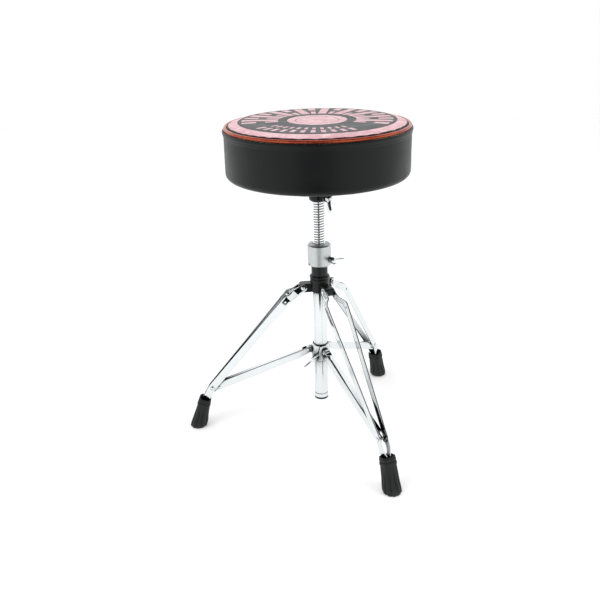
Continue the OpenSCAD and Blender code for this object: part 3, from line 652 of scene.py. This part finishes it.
def foam_block():
    """Foam under the cover: the filled shape moved in by the vinyl's thickness, flat on the board."""
    kept = [row for k, row in enumerate(filled) if k <= held_top or line[k][1] > BOARD_TOP + 2 * MM]
    gap = 1.6 * MM
    inner = []
    for row in kept:
        out = []
        for p in row:
            r = math.hypot(p.x, p.y)
            k = max(0.0, r - gap * (2.0 if r > CORD_RING - 9 * MM else 0.0)) / r
            out.append(Vector((p.x * k, p.y * k, p.z - (gap * 1.4 if r < SEAT_R - 3 * MM else 0))))
        inner.append(out)
    last = [Vector((p.x, p.y, BOARD_TOP + 0.1 * MM)) for p in inner[-1]]
    return skin("seat_foam_block", inner + [last], cap_first=True, cap_last=True)


piece(foam_block(), FOAM, "seat", "foam", "seat_foam")


def piping_cord():
    """Covered cord around the top panel, with small pulls at its hidden stitches."""
    around, across = (720), 14
    rows_ = []
    for i in range(around):
        a = TAU * i / around
        pull = noise.noise(Vector((math.cos(a) * 5, math.sin(a) * 5, 9)))
        pinch = 0.5 + 0.5 * math.cos(a * 180)
        fat = CORD_R * (1 - 0.035 * pinch + 0.03 * pull)
        ring_r = CORD_RING + 0.25 * MM * pull
        row_ = []
        for j in range(across):
            t = TAU * j / across
            row_.append(Vector(((ring_r + fat * math.cos(t)) * math.cos(a), (ring_r + fat * math.cos(t)) * math.sin(a),
                                CORD_Z + fat * math.sin(t) + 0.12 * MM * pull)))
        rows_.append(row_)
    return skin("seat_piping_cord", rows_ + [rows_[0]])


cord = piping_cord()
bm = bmesh.new()
bm.from_mesh(cord.data)
bmesh.ops.remove_doubles(bm, verts=bm.verts, dist=1e-7)
bm.to_mesh(cord.data)
bm.free()
cord.data.shade_smooth()
piece(cord, PIPING, "seat", "piping", "seat_piping")


def dust_cloth():
    """Cloth stapled under the board: it hangs a little between the staples and lies flat under the plate."""
    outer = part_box("seat_bottom_cloth")[1].x
    low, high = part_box("seat_bottom_cloth")[0].z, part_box("seat_bottom_cloth")[1].z
    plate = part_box("seat_plate")[1].x
    count = 192
    radii = [r for r, _ in spread([(6 * MM, 0), (plate - 1 * MM, 0)], 8 * MM)] + \
            [r for r, _ in spread([(plate + 2 * MM, 0), (outer - 1.2 * MM, 0)], 4 * MM)] + [outer]
    under = []
    for r in radii:
        row_ = []
        for i in range(count):
            a = TAU * i / count
            free = max(0.0, min(1.0, (r - plate - 1 * MM) / (14 * MM))) * max(0.0, min(1.0, (outer - 6 * MM - r) / (16 * MM)))
            ripple = 0.5 + 0.5 * noise.noise(Vector((math.cos(a) * 3 + r * 18, math.sin(a) * 3, r * 25)))
            flare = 0.35 * MM * max(0.0, math.cos(a * 24 + math.pi)) * max(0.0, (r - outer + 14 * MM) / (14 * MM))
            row_.append(Vector((r * math.cos(a), r * math.sin(a), low + 0.1 * MM - free * ripple * 1.3 * MM - flare)))
        under.append(row_)
    upper = [[Vector((p.x, p.y, high - 0.02 * MM)) for p in row_] for row_ in reversed(under)]
    return skin("seat_dust_cloth", under + upper, cap_first=True, cap_last=True)


piece(dust_cloth(), DUST_CLOTH, "seat", "dust_cloth", "seat_bottom_cloth")


# ---------------------------------------------------------------- threaded parts

def screw_thread(name, bottom, turns, pitch, root, crest, steps, shape):
    """Right-hand thread as one skin that follows the helix; shape is (share of the pitch, share of the depth) pairs.
    The ridge grows and fades over one turn."""
    bm_ = bmesh.new()
    last = round(turns * steps)
    grid = []
    for i in range(last + steps + 1):
        a = TAU * i / steps
        grow = max(0.0, min(1.0, i / steps, (last - i) / steps))
        grow = grow * grow * (3 - 2 * grow)
        grid.append([bm_.verts.new((
            (root + (crest - root) * h * grow) * math.cos(a), (root + (crest - root) * h * grow) * math.sin(a),
            bottom + pitch * (i / steps + v))) for v, h in shape])
    for i in range(last + steps):
        for a, b, c, d in zip(grid[i], grid[i + 1], grid[i + 1][1:], grid[i][1:]):
            bm_.faces.new((a, b, c, d))
        if i + steps + 1 < len(grid):
            bm_.faces.new((grid[i][-1], grid[i + 1][-1], grid[i + steps + 1][0], grid[i + steps][0]))
    return bm_, grid


def smooth_step(t):
    return t * t * (3 - 2 * t)


def spindle():
    """The seat's spindle: rolled thread, plain top, and a plain shank with a journal for the guide bush."""
    box_lo, box_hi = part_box("threaded_spindle")
    crest = box_hi.x
    root = crest - 2.2 * MM
    bottom, pitch, turns = 0.325, 5 * MM, 36
    shape = [(0.02, 0), (0.14, 0), (0.25, 0), (0.30, 0.06), (0.345, 0.30), (0.39, 0.72), (0.43, 0.95), (0.48, 1),
             (0.64, 1), (0.80, 1), (0.85, 0.95), (0.885, 0.72), (0.93, 0.30), (0.975, 0.06)]
    steps = 72
    bm_, grid = screw_thread("thread", bottom, turns, pitch, root, crest, steps, shape)
    first = [grid[i][0] for i in range(steps)]
    # the shank below, down from the thread's first turn
    lower = [(root, bottom - 1 * MM), (9.6 * MM, bottom - 1.6 * MM), (9.6 * MM, box_lo.z + 15.6 * MM), (9.0 * MM, box_lo.z + 15 * MM),
             (7 * MM, box_lo.z + 15 * MM), (7 * MM, box_lo.z + 0.6 * MM), (6.4 * MM, box_lo.z), (3 * MM, box_lo.z),
             (3 * MM, box_lo.z + 22 * MM)]
    start = [bm_.verts.new((root * math.cos(TAU * i / steps), root * math.sin(TAU * i / steps), bottom - 0.6 * MM)) for i in range(steps)]
    for i in range(steps):
        j = (i + 1) % steps
        top_j = grid[i + 1][0]
        bm_.faces.new((start[i], start[j], top_j, first[i])) if j else None
    # the step where the helix has risen by one pitch
    bm_.faces.new([start[steps - 1], start[0]] + [v for v in grid[0]] + [grid[steps][0], grid[steps - 1][0]])
    row_ = start
    for r, z in lower:
        nxt = [bm_.verts.new((r * math.cos(TAU * i / steps), r * math.sin(TAU * i / steps), z)) for i in range(steps)]
        for i in range(steps):
            j = (i + 1) % steps
            bm_.faces.new((nxt[i], nxt[j], row_[j], row_[i]))
        row_ = nxt
    bm_.faces.new(row_)
    # the plain part above, up from the thread's last turn
    top_z = bottom + (turns + 1) * pitch + 1 * MM
    n_rows = len(grid)
    tail = [grid[n_rows - 1 - steps + i] for i in range(steps + 1)]
    end = [bm_.verts.new((root * math.cos(TAU * (n_rows - 1 - steps + i) / steps), root * math.sin(TAU * (n_rows - 1 - steps + i) / steps), top_z + pitch * 0.9))
           for i in range(steps)]
    for i in range(steps - 1):
        bm_.faces.new((tail[i][-1], tail[i + 1][-1], end[i + 1], end[i]))
    bm_.faces.new([tail[steps - 1][-1]] + [tail[steps][-1]] + [v for v in reversed(tail[steps][:-1])] + [tail[0][-1], end[0], end[steps - 1]])
    row_ = end
    for r, z in [(crest - 0.4 * MM, top_z + pitch * 0.9 + 0.6 * MM), (crest, top_z + pitch * 0.9 + 1.4 * MM), (crest, box_hi.z - 1 * MM),
                 (crest - 1 * MM, box_hi.z)]:
        base = n_rows - 1 - steps
        nxt = [bm_.verts.new((r * math.cos(TAU * (base + i) / steps), r * math.sin(TAU * (base + i) / steps), z)) for i in range(steps)]
        for i in range(steps):
            j = (i + 1) % steps
            bm_.faces.new((row_[i], row_[j], nxt[j], nxt[i]))
        row_ = nxt
    bm_.faces.new(row_)
    obj = finish_mesh(bm_, "spindle_screw_bar")
    return obj


spindle_bar = spindle()
piece(spindle_bar, THREAD_STEEL, "spindle", "screw_steel", "threaded_spindle")


# ---------------------------------------------------------------- wing bolts

def wing_bolt(name, az, height, twist, start_r, end_r):
    """Cast wing bolt: boss and two swept wings fused with fillets, then its threaded shank.
    It points along the direction az; the boss starts at start_r and the shank ends at end_r."""
    parts = []
    boss_len, boss_r = 11 * MM, 6 * MM
    boss = [(0.0, 4.6 * MM), (0.0, boss_r - 0.6 * MM), (0.6 * MM, boss_r), (boss_len - 3 * MM, boss_r),
            (boss_len - 1.2 * MM, boss_r - 0.8 * MM), (boss_len, boss_r - 2.6 * MM)]
    steps = 40
    rows_ = [[Vector((x, r * math.cos(TAU * i / steps), r * math.sin(TAU * i / steps))) for i in range(steps)] for x, r in boss]
    parts.append(skin("boss", rows_, cap_first=True, cap_last=True))
    for side in (1, -1):
        root = Vector((boss_len - 4.6 * MM, 0, 0))
        tip = Vector((boss_len - 4.6 * MM + 11 * MM, 0, side * 20 * MM))
        run = (tip - root)
        ahead = run.normalized()
        across = Vector((ahead.z, 0, -ahead.x)) * side
        rows_ = []
        count, around = 22, 28
        for k in range(count + 1):
            t = k / count
            centre = root + run * t - across * (1.6 * MM * math.sin(math.pi * t))
            wide = (4.2 + 1.2 * smooth_step(t)) * MM
            thick = (2.7 - 0.75 * t) * MM
            rows_.append([centre + across * wide * math.copysign(abs(math.cos(TAU * i / around)) ** 0.8, math.cos(TAU * i / around))
                          + Vector((0, 1, 0)) * thick * math.copysign(abs(math.sin(TAU * i / around)) ** 0.75, math.sin(TAU * i / around))
                          for i in range(around)])
        for k in range(1, 8):
            t = k / 7 * 0.97
            shrink = math.sqrt(1 - t * t)
            wide, thick = 5.4 * MM * shrink, 1.95 * MM * (0.35 + 0.65 * shrink)
            centre = tip + ahead * 5.0 * MM * t
            rows_.append([centre + across * wide * math.copysign(abs(math.cos(TAU * i / around)) ** 0.8, math.cos(TAU * i / around))
                          + Vector((0, 1, 0)) * thick * math.copysign(abs(math.sin(TAU * i / around)) ** 0.75, math.sin(TAU * i / around))
                          for i in range(around)])
        parts.append(skin("wing", rows_, cap_first=True, cap_last=True))
    head = join(parts, "head")
    modify(head, "REMESH", mode="VOXEL", voxel_size=0.5 * MM)
    apply_modifiers(head)
    modify(head, "SMOOTH", factor=0.6, iterations=7)
    apply_modifiers(head)
    head.data.shade_smooth()
    shank_len = start_r - end_r
    turns = max(1, int((shank_len - 2 * MM) / (1.25 * MM)) - 1)
    shape = [(0.0, 0), (0.2, 0.2), (0.45, 1), (0.6, 1), (0.85, 0.2)]
    bm_, grid = screw_thread("shank", 0.6 * MM, turns, 1.25 * MM, 3.3 * MM, 3.95 * MM, 24, shape)
    thread = finish_mesh(bm_, "thread", flip=False)
    rows_ = [[Vector((r * math.cos(TAU * i / 24), r * math.sin(TAU * i / 24), z)) for i in range(24)]
             for r, z in [(2.4 * MM, 0.0), (3.3 * MM, 0.8 * MM), (3.3 * MM, shank_len + 0.5 * MM)]]
    core = skin("core", rows_, cap_first=True, cap_last=True)
    shank = join([thread, core], "shank")
    shank.data.transform(Matrix.Translation((-shank_len, 0, 0)) @ Matrix.Rotation(math.radians(90), 4, "Y"))
    bolt = join([head, shank], name)
    place_ = Matrix.Rotation(math.radians(az), 4, "Z") @ Matrix.Translation((start_r, 0, height)) @ Matrix.Rotation(math.radians(twist), 4, "X")
    bolt.data.transform(place_)
    return bolt


WINGS = [
    ("seat_clamp_wing", "seat_clamp_bolt", "seat_clamp", -50, 0.508, -25, 26.25, 12.4),
    ("height_lock_wing", "height_lock_bolt", "height_lock", -24, 0.382, 86, 23.25, 12.4),
    ("collar_lock_wing", "collar_lock_bolt", "collar_lock", -120, 0.172, -42, 22.25, 14.6),
]
for name, node, body, az, height, twist, start_r, end_r in WINGS:
    piece(wing_bolt(name, az, height, twist, start_r * MM, end_r * MM), CHROME, body, "chrome", node)


# ---------------------------------------------------------------- legs

PIVOT = (32.5, 323.0)
RAIL_LINE = [PIVOT, (65.3, 301.4), (232.7, 94.3), (262.0, 40.0)]
BRACE_PIN = (230.5, 96.3)
COLLAR_PIN = (24.0, 184.5)
RAIL_W, RAIL_T = 15.0, 2.6
LUG_GAP, KNEE_GAP, PIN_GAP, TOE_GAP = 17.5, 40.0, 14.5, 5.0
DIAG = math.sqrt(0.5)


def along(p):
    return (p[0] - p[1]) * DIAG


EYE_END = along(PIVOT) + 18.5
PIN_AT = along(BRACE_PIN)
SPLAY = [(along(PIVOT) - 30, LUG_GAP / 2), (EYE_END, LUG_GAP / 2), (EYE_END + 14.5, KNEE_GAP / 2), (EYE_END + 31.5, KNEE_GAP / 2),
         (PIN_AT - 7, PIN_GAP / 2), (PIN_AT + 20.5, PIN_GAP / 2), (PIN_AT + 35, TOE_GAP / 2), (along(RAIL_LINE[3]) + 9, TOE_GAP / 2)]


def rounded_path(points, radii, step):
    """Points along a line with its corners rounded; radii are for the inner corners."""
    pts = [Vector(p) for p in points]
    out = [pts[0]]
    for i in range(1, len(pts) - 1):
        a, b, c = pts[i - 1], pts[i], pts[i + 1]
        u, v = (a - b).normalized(), (c - b).normalized()
        half = u.angle(v) / 2
        cut = min(radii[i - 1] / math.tan(half), 0.45 * min((a - b).length, (c - b).length))
        p, q = b + u * cut, b + v * cut
        n = 8
        for k in range(n + 1):
            t = k / n
            out.append(p * (1 - t) ** 2 + b * 2 * t * (1 - t) + q * t * t)
    out.append(pts[-1])
    return [Vector(p) for p in spread([tuple(p) for p in out], step)]


def splay_at(s):
    """Half gap between the rails at a distance along the leg, with the bends rounded."""
    total, width = 0.0, 2.2
    for k in range(-3, 4):
        x = s + k * width / 3
        for (a, ga), (b, gb) in zip(SPLAY, SPLAY[1:]):
            if x <= b or (b, gb) == SPLAY[-1]:
                total += ga + (gb - ga) * max(0.0, (x - a) / (b - a))
                break
    return total / 7


def rail(name, side, az):
    """Flat chrome bar bent to the leg's line, with eased edges, a round eye at the pivot and a hole near the knee."""
    path = rounded_path(RAIL_LINE, [10, 16], 2.5)
    start_dir = (path[1] - path[0]).normalized()
    half = RAIL_W / 2
    eye = [path[0] - start_dir * half * math.cos(math.radians(a)) for a in (4, 12, 22, 34, 48, 63, 78)]
    eye_w = [half * math.sin(math.radians(a)) for a in (4, 12, 22, 34, 48, 63, 78)]
    mids = eye + path
    widths = eye_w + [half] * len(path)
    rows_ = []
    e = 0.45
    for k, (m, w) in enumerate(zip(mids, widths)):
        a, b = mids[max(k - 1, 0)], mids[min(k + 1, len(mids) - 1)]
        d = (b - a).normalized()
        nrm = Vector((-d.y, d.x))
        ring = []
        ease = min(e, w * 0.4)
        section = []
        across = [-1.0, -0.6, -0.2, 0.2, 0.6, 1.0]
        inner = [(-w + ease * 0.0, 0.0 + ease), (-w + ease * 0.3, ease * 0.3), (-w + ease, 0.0)] + [(c * (w - ease) * 0.98, 0.0) for c in across[1:-1]] + \
                [(w - ease, 0.0), (w - ease * 0.3, ease * 0.3), (w, ease)]
        outer = [(x, RAIL_T - y) for x, y in reversed(inner)]
        for x, y in inner + outer:
            q = m + nrm * x
            g = splay_at(along((q.x, q.y)))
            ring.append(Vector((q.x, side * (g + y), q.y)) * MM)
        rows_.append(ring)
    obj = skin(name, rows_, cap_first=True, cap_last=True)
    hole_at = Vector((RAIL_LINE[1][0] + 0.02 * (RAIL_LINE[2][0] - RAIL_LINE[1][0]), 0, RAIL_LINE[1][1] + 0.02 * (RAIL_LINE[2][1] - RAIL_LINE[1][1]))) * MM
    cut_rows = [[hole_at + Vector((2 * MM * math.cos(TAU * i / 32), y, 2 * MM * math.sin(TAU * i / 32))) for i in range(32)] for y in (-0.06, 0.06)]
    cutter = skin("cutter", cut_rows, cap_first=True, cap_last=True)
    modify(obj, "BOOLEAN", object=cutter, operation="DIFFERENCE", solver="EXACT")
    apply_modifiers(obj)
    bpy.data.objects.remove(cutter)
    obj.data.set_sharp_from_angle(angle=math.radians(38))
    return turned(obj, az)


FOOT_AT = 268.5
FOOT_TOP = (249.0, 68.0)


def foot(name, az):
    """Rubber foot: an open rim with two bands, then a body with deep pleats that ends in a scalloped sole."""
    axis = Vector((FOOT_TOP[0] - FOOT_AT, FOOT_TOP[1]))
    length = axis.length
    axis.normalize()
    tilt = math.atan2(-axis.x, axis.y)
    around = 120

    def ring_at(s, half_x, half_y, power, pleat, lean, swell=0.0, oval=0.0):
        centre = Vector((FOOT_AT, 0)) + axis * s
        xdir = Vector((math.cos(lean), math.sin(lean)))
        ring = []
        for i in range(around):
            t = TAU * i / around
            c, q = math.cos(t), math.sin(t)
            r = (abs(c / half_x) ** power + abs(q / half_y) ** power) ** (-1 / power)
            wave = abs(math.sin(5 * t + 0.0)) ** 0.55
            r += swell - pleat * (1 - wave)
            if oval:
                face = max(0.0, abs(q) - 0.86) / 0.14
                r -= oval * smooth_step(min(1.0, face * 1.6)) * (1 if face > 0 else 0)
            x, y = r * c, r * q
            p = centre + xdir * x
            ring.append(Vector((p.x, y, max(p.y, 0.0))) * MM)
        return ring

    def size(s):
        """Half sizes of the body and how square it is, at a height up the foot's own axis."""
        t = max(0.0, min(1.0, (s - 12) / (length - 13)))
        return 18.5 + (11.0 - 18.5) * t, 18.5 + (12.5 - 18.5) * t, 2.0 + 1.5 * t

    rows_ = []
    lean_low, lean_top = 0.0, tilt
    # sole, then the rounded lower edge
    rows_.append(ring_at(0.0, 4, 4, 2.0, 0.0, 0.0))
    rows_.append(ring_at(0.0, 11, 11, 2.0, 0.8, 0.0))
    rows_.append(ring_at(0.0, 15.0, 15.0, 2.0, 1.6, 0.0))
    rows_.append(ring_at(0.4, 15.7, 15.7, 2.0, 1.9, 0.0))
    rows_.append(ring_at(2.6, 17.9, 17.9, 2.0, 2.4, 0.0))
    body_top = length - 16.5
    n = 26
    for k in range(n + 1):
        s = 3.6 + (body_top - 3.6) * k / n
        hx, hy, pw = size(s)
        f = k / n
        pleat = 3.1 * (1 - smooth_step(max(0.0, (f - 0.55) / 0.45)) * 0.85)
        waist = -0.9 * math.sin(math.pi * f) ** 2
        lean = lean_low + (lean_top - lean_low) * smooth_step(min(1.0, f * 1.4))
        oval_f = max(0.0, 1 - ((f - 0.52) / 0.27) ** 2)
        rows_.append(ring_at(s, hx, hy, pw, pleat, lean, waist, 1.1 * math.sqrt(oval_f)))
    # two bands, the upper one flaring into the rim
    def band_rows(low, high, proud):
        out = []
        for s, w in [(low, 0.1), (low + 0.5, proud * 0.7), (low + 1.3, proud), (high - 1.3, proud), (high - 0.5, proud * 0.7), (high, 0.1)]:
            hx, hy, pw = size(s)
            out.append(ring_at(s, hx, hy, pw, 0.0, lean_top, w))
        return out
    rows_ += band_rows(body_top + 0.8, body_top + 7.8, 1.5)
    rows_ += band_rows(body_top + 8.8, length - 1.6, 1.7)
    hx, hy, pw = size(length)
    rows_.append(ring_at(length - 1.0, hx, hy, pw, 0.0, lean_top, 1.2))
    rows_.append(ring_at(length, hx, hy, pw, 0.0, lean_top, 1.6))
    rows_.append(ring_at(length + 0.6, hx, hy, pw, 0.0, lean_top, 1.0))
    rows_.append(ring_at(length + 0.4, hx, hy, pw, 0.0, lean_top, -0.4))
    rows_.append(ring_at(length - 1.0, hx, hy, pw, 0.0, lean_top, -1.3))
    rows_.append(ring_at(length - 7.0, hx, hy, pw, 0.0, lean_top, -2.2))
    rows_.append(ring_at(length - 8.0, 6, 8, 2.4, 0.0, lean_top, -1.0))
    obj = skin(name, rows_, cap_first=True, cap_last=True)
    return turned(obj, az)


for leg, az in LEGS.items():
    body = leg + "_leg"
    piece(rail(leg + "_rail_a", 1, az), RAIL_CHROME, body, "chrome", leg + "_leg_rail_a")
    piece(rail(leg + "_rail_b", -1, az), RAIL_CHROME, body, "chrome", leg + "_leg_rail_b")
    piece(foot(leg + "_rubber_foot", az), RUBBER, body, "rubber", leg + "_foot")


# ---------------------------------------------------------------- braces

def prism(name, outline, half):
    """Slab across the leg's plane, from an outline of (x, z) pairs in millimetres."""
    return skin(name, [[Vector((x, y, z)) * MM for x, z in outline] for y in (-half, half)], cap_first=True, cap_last=True)


def combine(obj, tool, operation="DIFFERENCE"):
    modify(obj, "BOOLEAN", object=tool, operation=operation, solver="EXACT")
    apply_modifiers(obj)
    bpy.data.objects.remove(tool)


def brace(name, az):
    """Folded channel, web uppermost: rounded bends along the top, deep walls, round ends, the web cut back at both."""
    run = Vector(BRACE_PIN) - Vector(COLLAR_PIN)
    length, slope = run.length, math.atan2(-run.y, run.x)
    wide, wall, bend = 7.0, 1.6, 2.8
    top, below, nose, end = 6.0, -16.0, 5.5, 8.2
    drop = top - end

    def half_section(w, t, r):
        return [(w, below)] + arc(w - r, t - r, r, 0, 90, 8)

    outside, inside = half_section(wide, top, bend), half_section(wide - wall, top - wall, bend - wall)
    loop = outside + [(-y, z) for y, z in reversed(outside)] + [(-y, z) for y, z in inside] + list(reversed(inside))
    obj = skin(name, [[Vector((x, y, z)) * MM for y, z in loop] for x in (-2 * end, length + 2 * end)], cap_first=True, cap_last=True)
    side = arc(0, 0, nose, 90, 270, 16) + [(25, top - 15.4)] + arc(length, drop, end, -90, 90, 24) + [(25, top)]
    combine(obj, prism("side", side, 2 * wide), "INTERSECT")
    for a, b in ((-3 * end, 13), (length - 13, length + 3 * end)):
        combine(obj, prism("web", [(a, -1), (b, -1), (b, 3 * end), (a, 3 * end)], wide - wall - 0.01))
    combine(obj, prism("pin", arc(0, 0, 2.5, 0, 351, 39), 2 * wide))
    far = (length - 12.2, -3.3)
    lean = math.degrees(math.atan2(3.3, 12.2))
    combine(obj, prism("slot", arc(length, 0, 4.1, lean - 90, lean + 90, 16) + arc(*far, 4.1, lean + 90, lean + 270, 16), 2 * wide))
    obj.data.transform(Matrix.Translation(Vector((COLLAR_PIN[0], 0, COLLAR_PIN[1])) * MM) @ Matrix.Rotation(slope, 4, "Y"))
    obj.data.shade_smooth()
    obj.data.set_sharp_from_angle(angle=math.radians(30))
    return turned(obj, az)


for leg, az in LEGS.items():
    piece(brace(leg + "_brace_channel", az), CHROME, leg + "_brace_arm", "chrome", leg + "_brace")


# ---------------------------------------------------------------- stage, light and camera

def floor():
    """Plain white floor, dark only where a reflection would show the place the camera stands."""
    obj = skin("floor", [[Vector((-4, -4, 0)), Vector((4, -4, 0))], [Vector((-4, 4, 0)), Vector((4, 4, 0))]], wrap=False, smooth=False)
    obj.location.z = -0.0002
    mat, n, s, p = material("pale_floor")
    tree = mat.node_tree
    x, y, z = n.split(n.add("ShaderNodeNewGeometry", None, 0))
    away = n.math("ABSOLUTE", n.math("ARCTAN2", x, n.math("MULTIPLY", y, -1.0)))
    beyond = n.math("MULTIPLY", n.remap(y, -0.62, -0.74), n.remap(away, math.radians(17.5), math.radians(14)))
    path = tree.nodes.new("ShaderNodeLightPath")
    seen, glossy = path.outputs[0], path.outputs[3]
    shade(n, s, Base_Color=n.mix(n.noise(p, 0.4, 2), (0.90, 0.90, 0.90), (0.93, 0.93, 0.93)), Roughness=0.9, Specular_IOR_Level=0.1,
          Emission_Color=(1.0, 1.0, 1.0), Emission_Strength=n.math("ADD", n.math("MULTIPLY", seen, 0.16), n.math("MULTIPLY", glossy, 0.45)))
    dark = n.add("ShaderNodeEmission", None, 0, Color=(0.008, 0.010, 0.010, 1), Strength=1.0)
    mixed = n.add("ShaderNodeMixShader", None, 0, i0=n.math("MULTIPLY", beyond, glossy), i1=s.outputs[0], i2=dark)
    tree.links.new(mixed, tree.nodes["Material Output"].inputs[0])
    obj.data.materials.append(mat)


def studio():
    """White room with an even light. Reflections find it white, but for a dark ceiling above the front and sides
    and a dark gap where the camera stands."""
    world = bpy.data.worlds.new("studio")
    bpy.context.scene.world = world
    world.use_nodes = True
    tree = world.node_tree
    n = Nodes(tree)
    back = tree.nodes["Background"]
    x, y, z = n.split(n.add("ShaderNodeTexCoord", None, 0))
    away = n.math("ABSOLUTE", n.math("ARCTAN2", x, n.math("MULTIPLY", y, -1.0)))
    rise = n.math("ARCSINE", z)
    gap = n.remap(away, math.radians(17.5), math.radians(14))
    ceiling = n.math("MULTIPLY", n.remap(rise, math.radians(27), math.radians(32)), n.remap(away, math.radians(127), math.radians(113)))
    mirror = n.math("MULTIPLY", 1.45, n.math("SUBTRACT", 1.0, n.math("MULTIPLY", n.math("MAXIMUM", gap, ceiling), 0.975)))
    soft = n.remap(rise, -0.2, 1.2, 0.62, 1.0)
    path = tree.nodes.new("ShaderNodeLightPath")
    value = n.mix(path.outputs[3], soft, mirror)
    value = n.mix(path.outputs[0], value, (1.0, 1.0, 1.0))
    n.put(back.inputs[0], value)
    back.inputs[1].default_value = 1.0


def soft_box(name, place_, target, size, power):
    data = bpy.data.lights.new(name, "AREA")
    data.shape = "RECTANGLE"
    data.size, data.size_y = size
    data.energy = power
    obj = bpy.data.objects.new(name, data)
    bpy.context.scene.collection.objects.link(obj)
    obj.location = place_
    obj.rotation_euler = (Vector(target) - Vector(place_)).to_track_quat("-Z", "Y").to_euler()
    obj.visible_glossy = False
    return obj


def camera():
    """The photograph's viewpoint: 1.6 m away, looking down by 22.6 degrees."""
    yaw, pitch, roll, turn = math.radians(-1.67), math.radians(22.57), math.radians(-1.55), math.radians(1.215)
    ahead = Vector((math.sin(yaw) * math.cos(pitch), math.cos(yaw) * math.cos(pitch), -math.sin(pitch)))
    right = Vector((math.cos(yaw), -math.sin(yaw), 0))
    up = right.cross(ahead)
    right2 = right * math.cos(roll) + up * math.sin(roll)
    up2 = up * math.cos(roll) - right * math.sin(roll)
    basis = Matrix((right2, up2, -ahead)).transposed()
    spin = Matrix.Rotation(turn, 3, "Z")
    data = bpy.data.cameras.new("camera")
    data.lens, data.sensor_width = 44.54, 36
    obj = bpy.data.objects.new("camera", data)
    bpy.context.scene.collection.objects.link(obj)
    obj.matrix_world = Matrix.Translation(spin @ Vector((0, -1.3811, 0.8679))) @ (spin @ basis).to_4x4()
    bpy.context.scene.camera = obj


floor()
studio()
soft_box("key", (-1.6, -1.5, 2.2), (0, 0, 0.45), (1.6, 1.6), 26)
soft_box("fill", (1.9, -1.0, 1.6), (0, 0, 0.4), (1.4, 1.8), 14)
camera()
bpy.context.scene.view_settings.view_transform = "Standard"
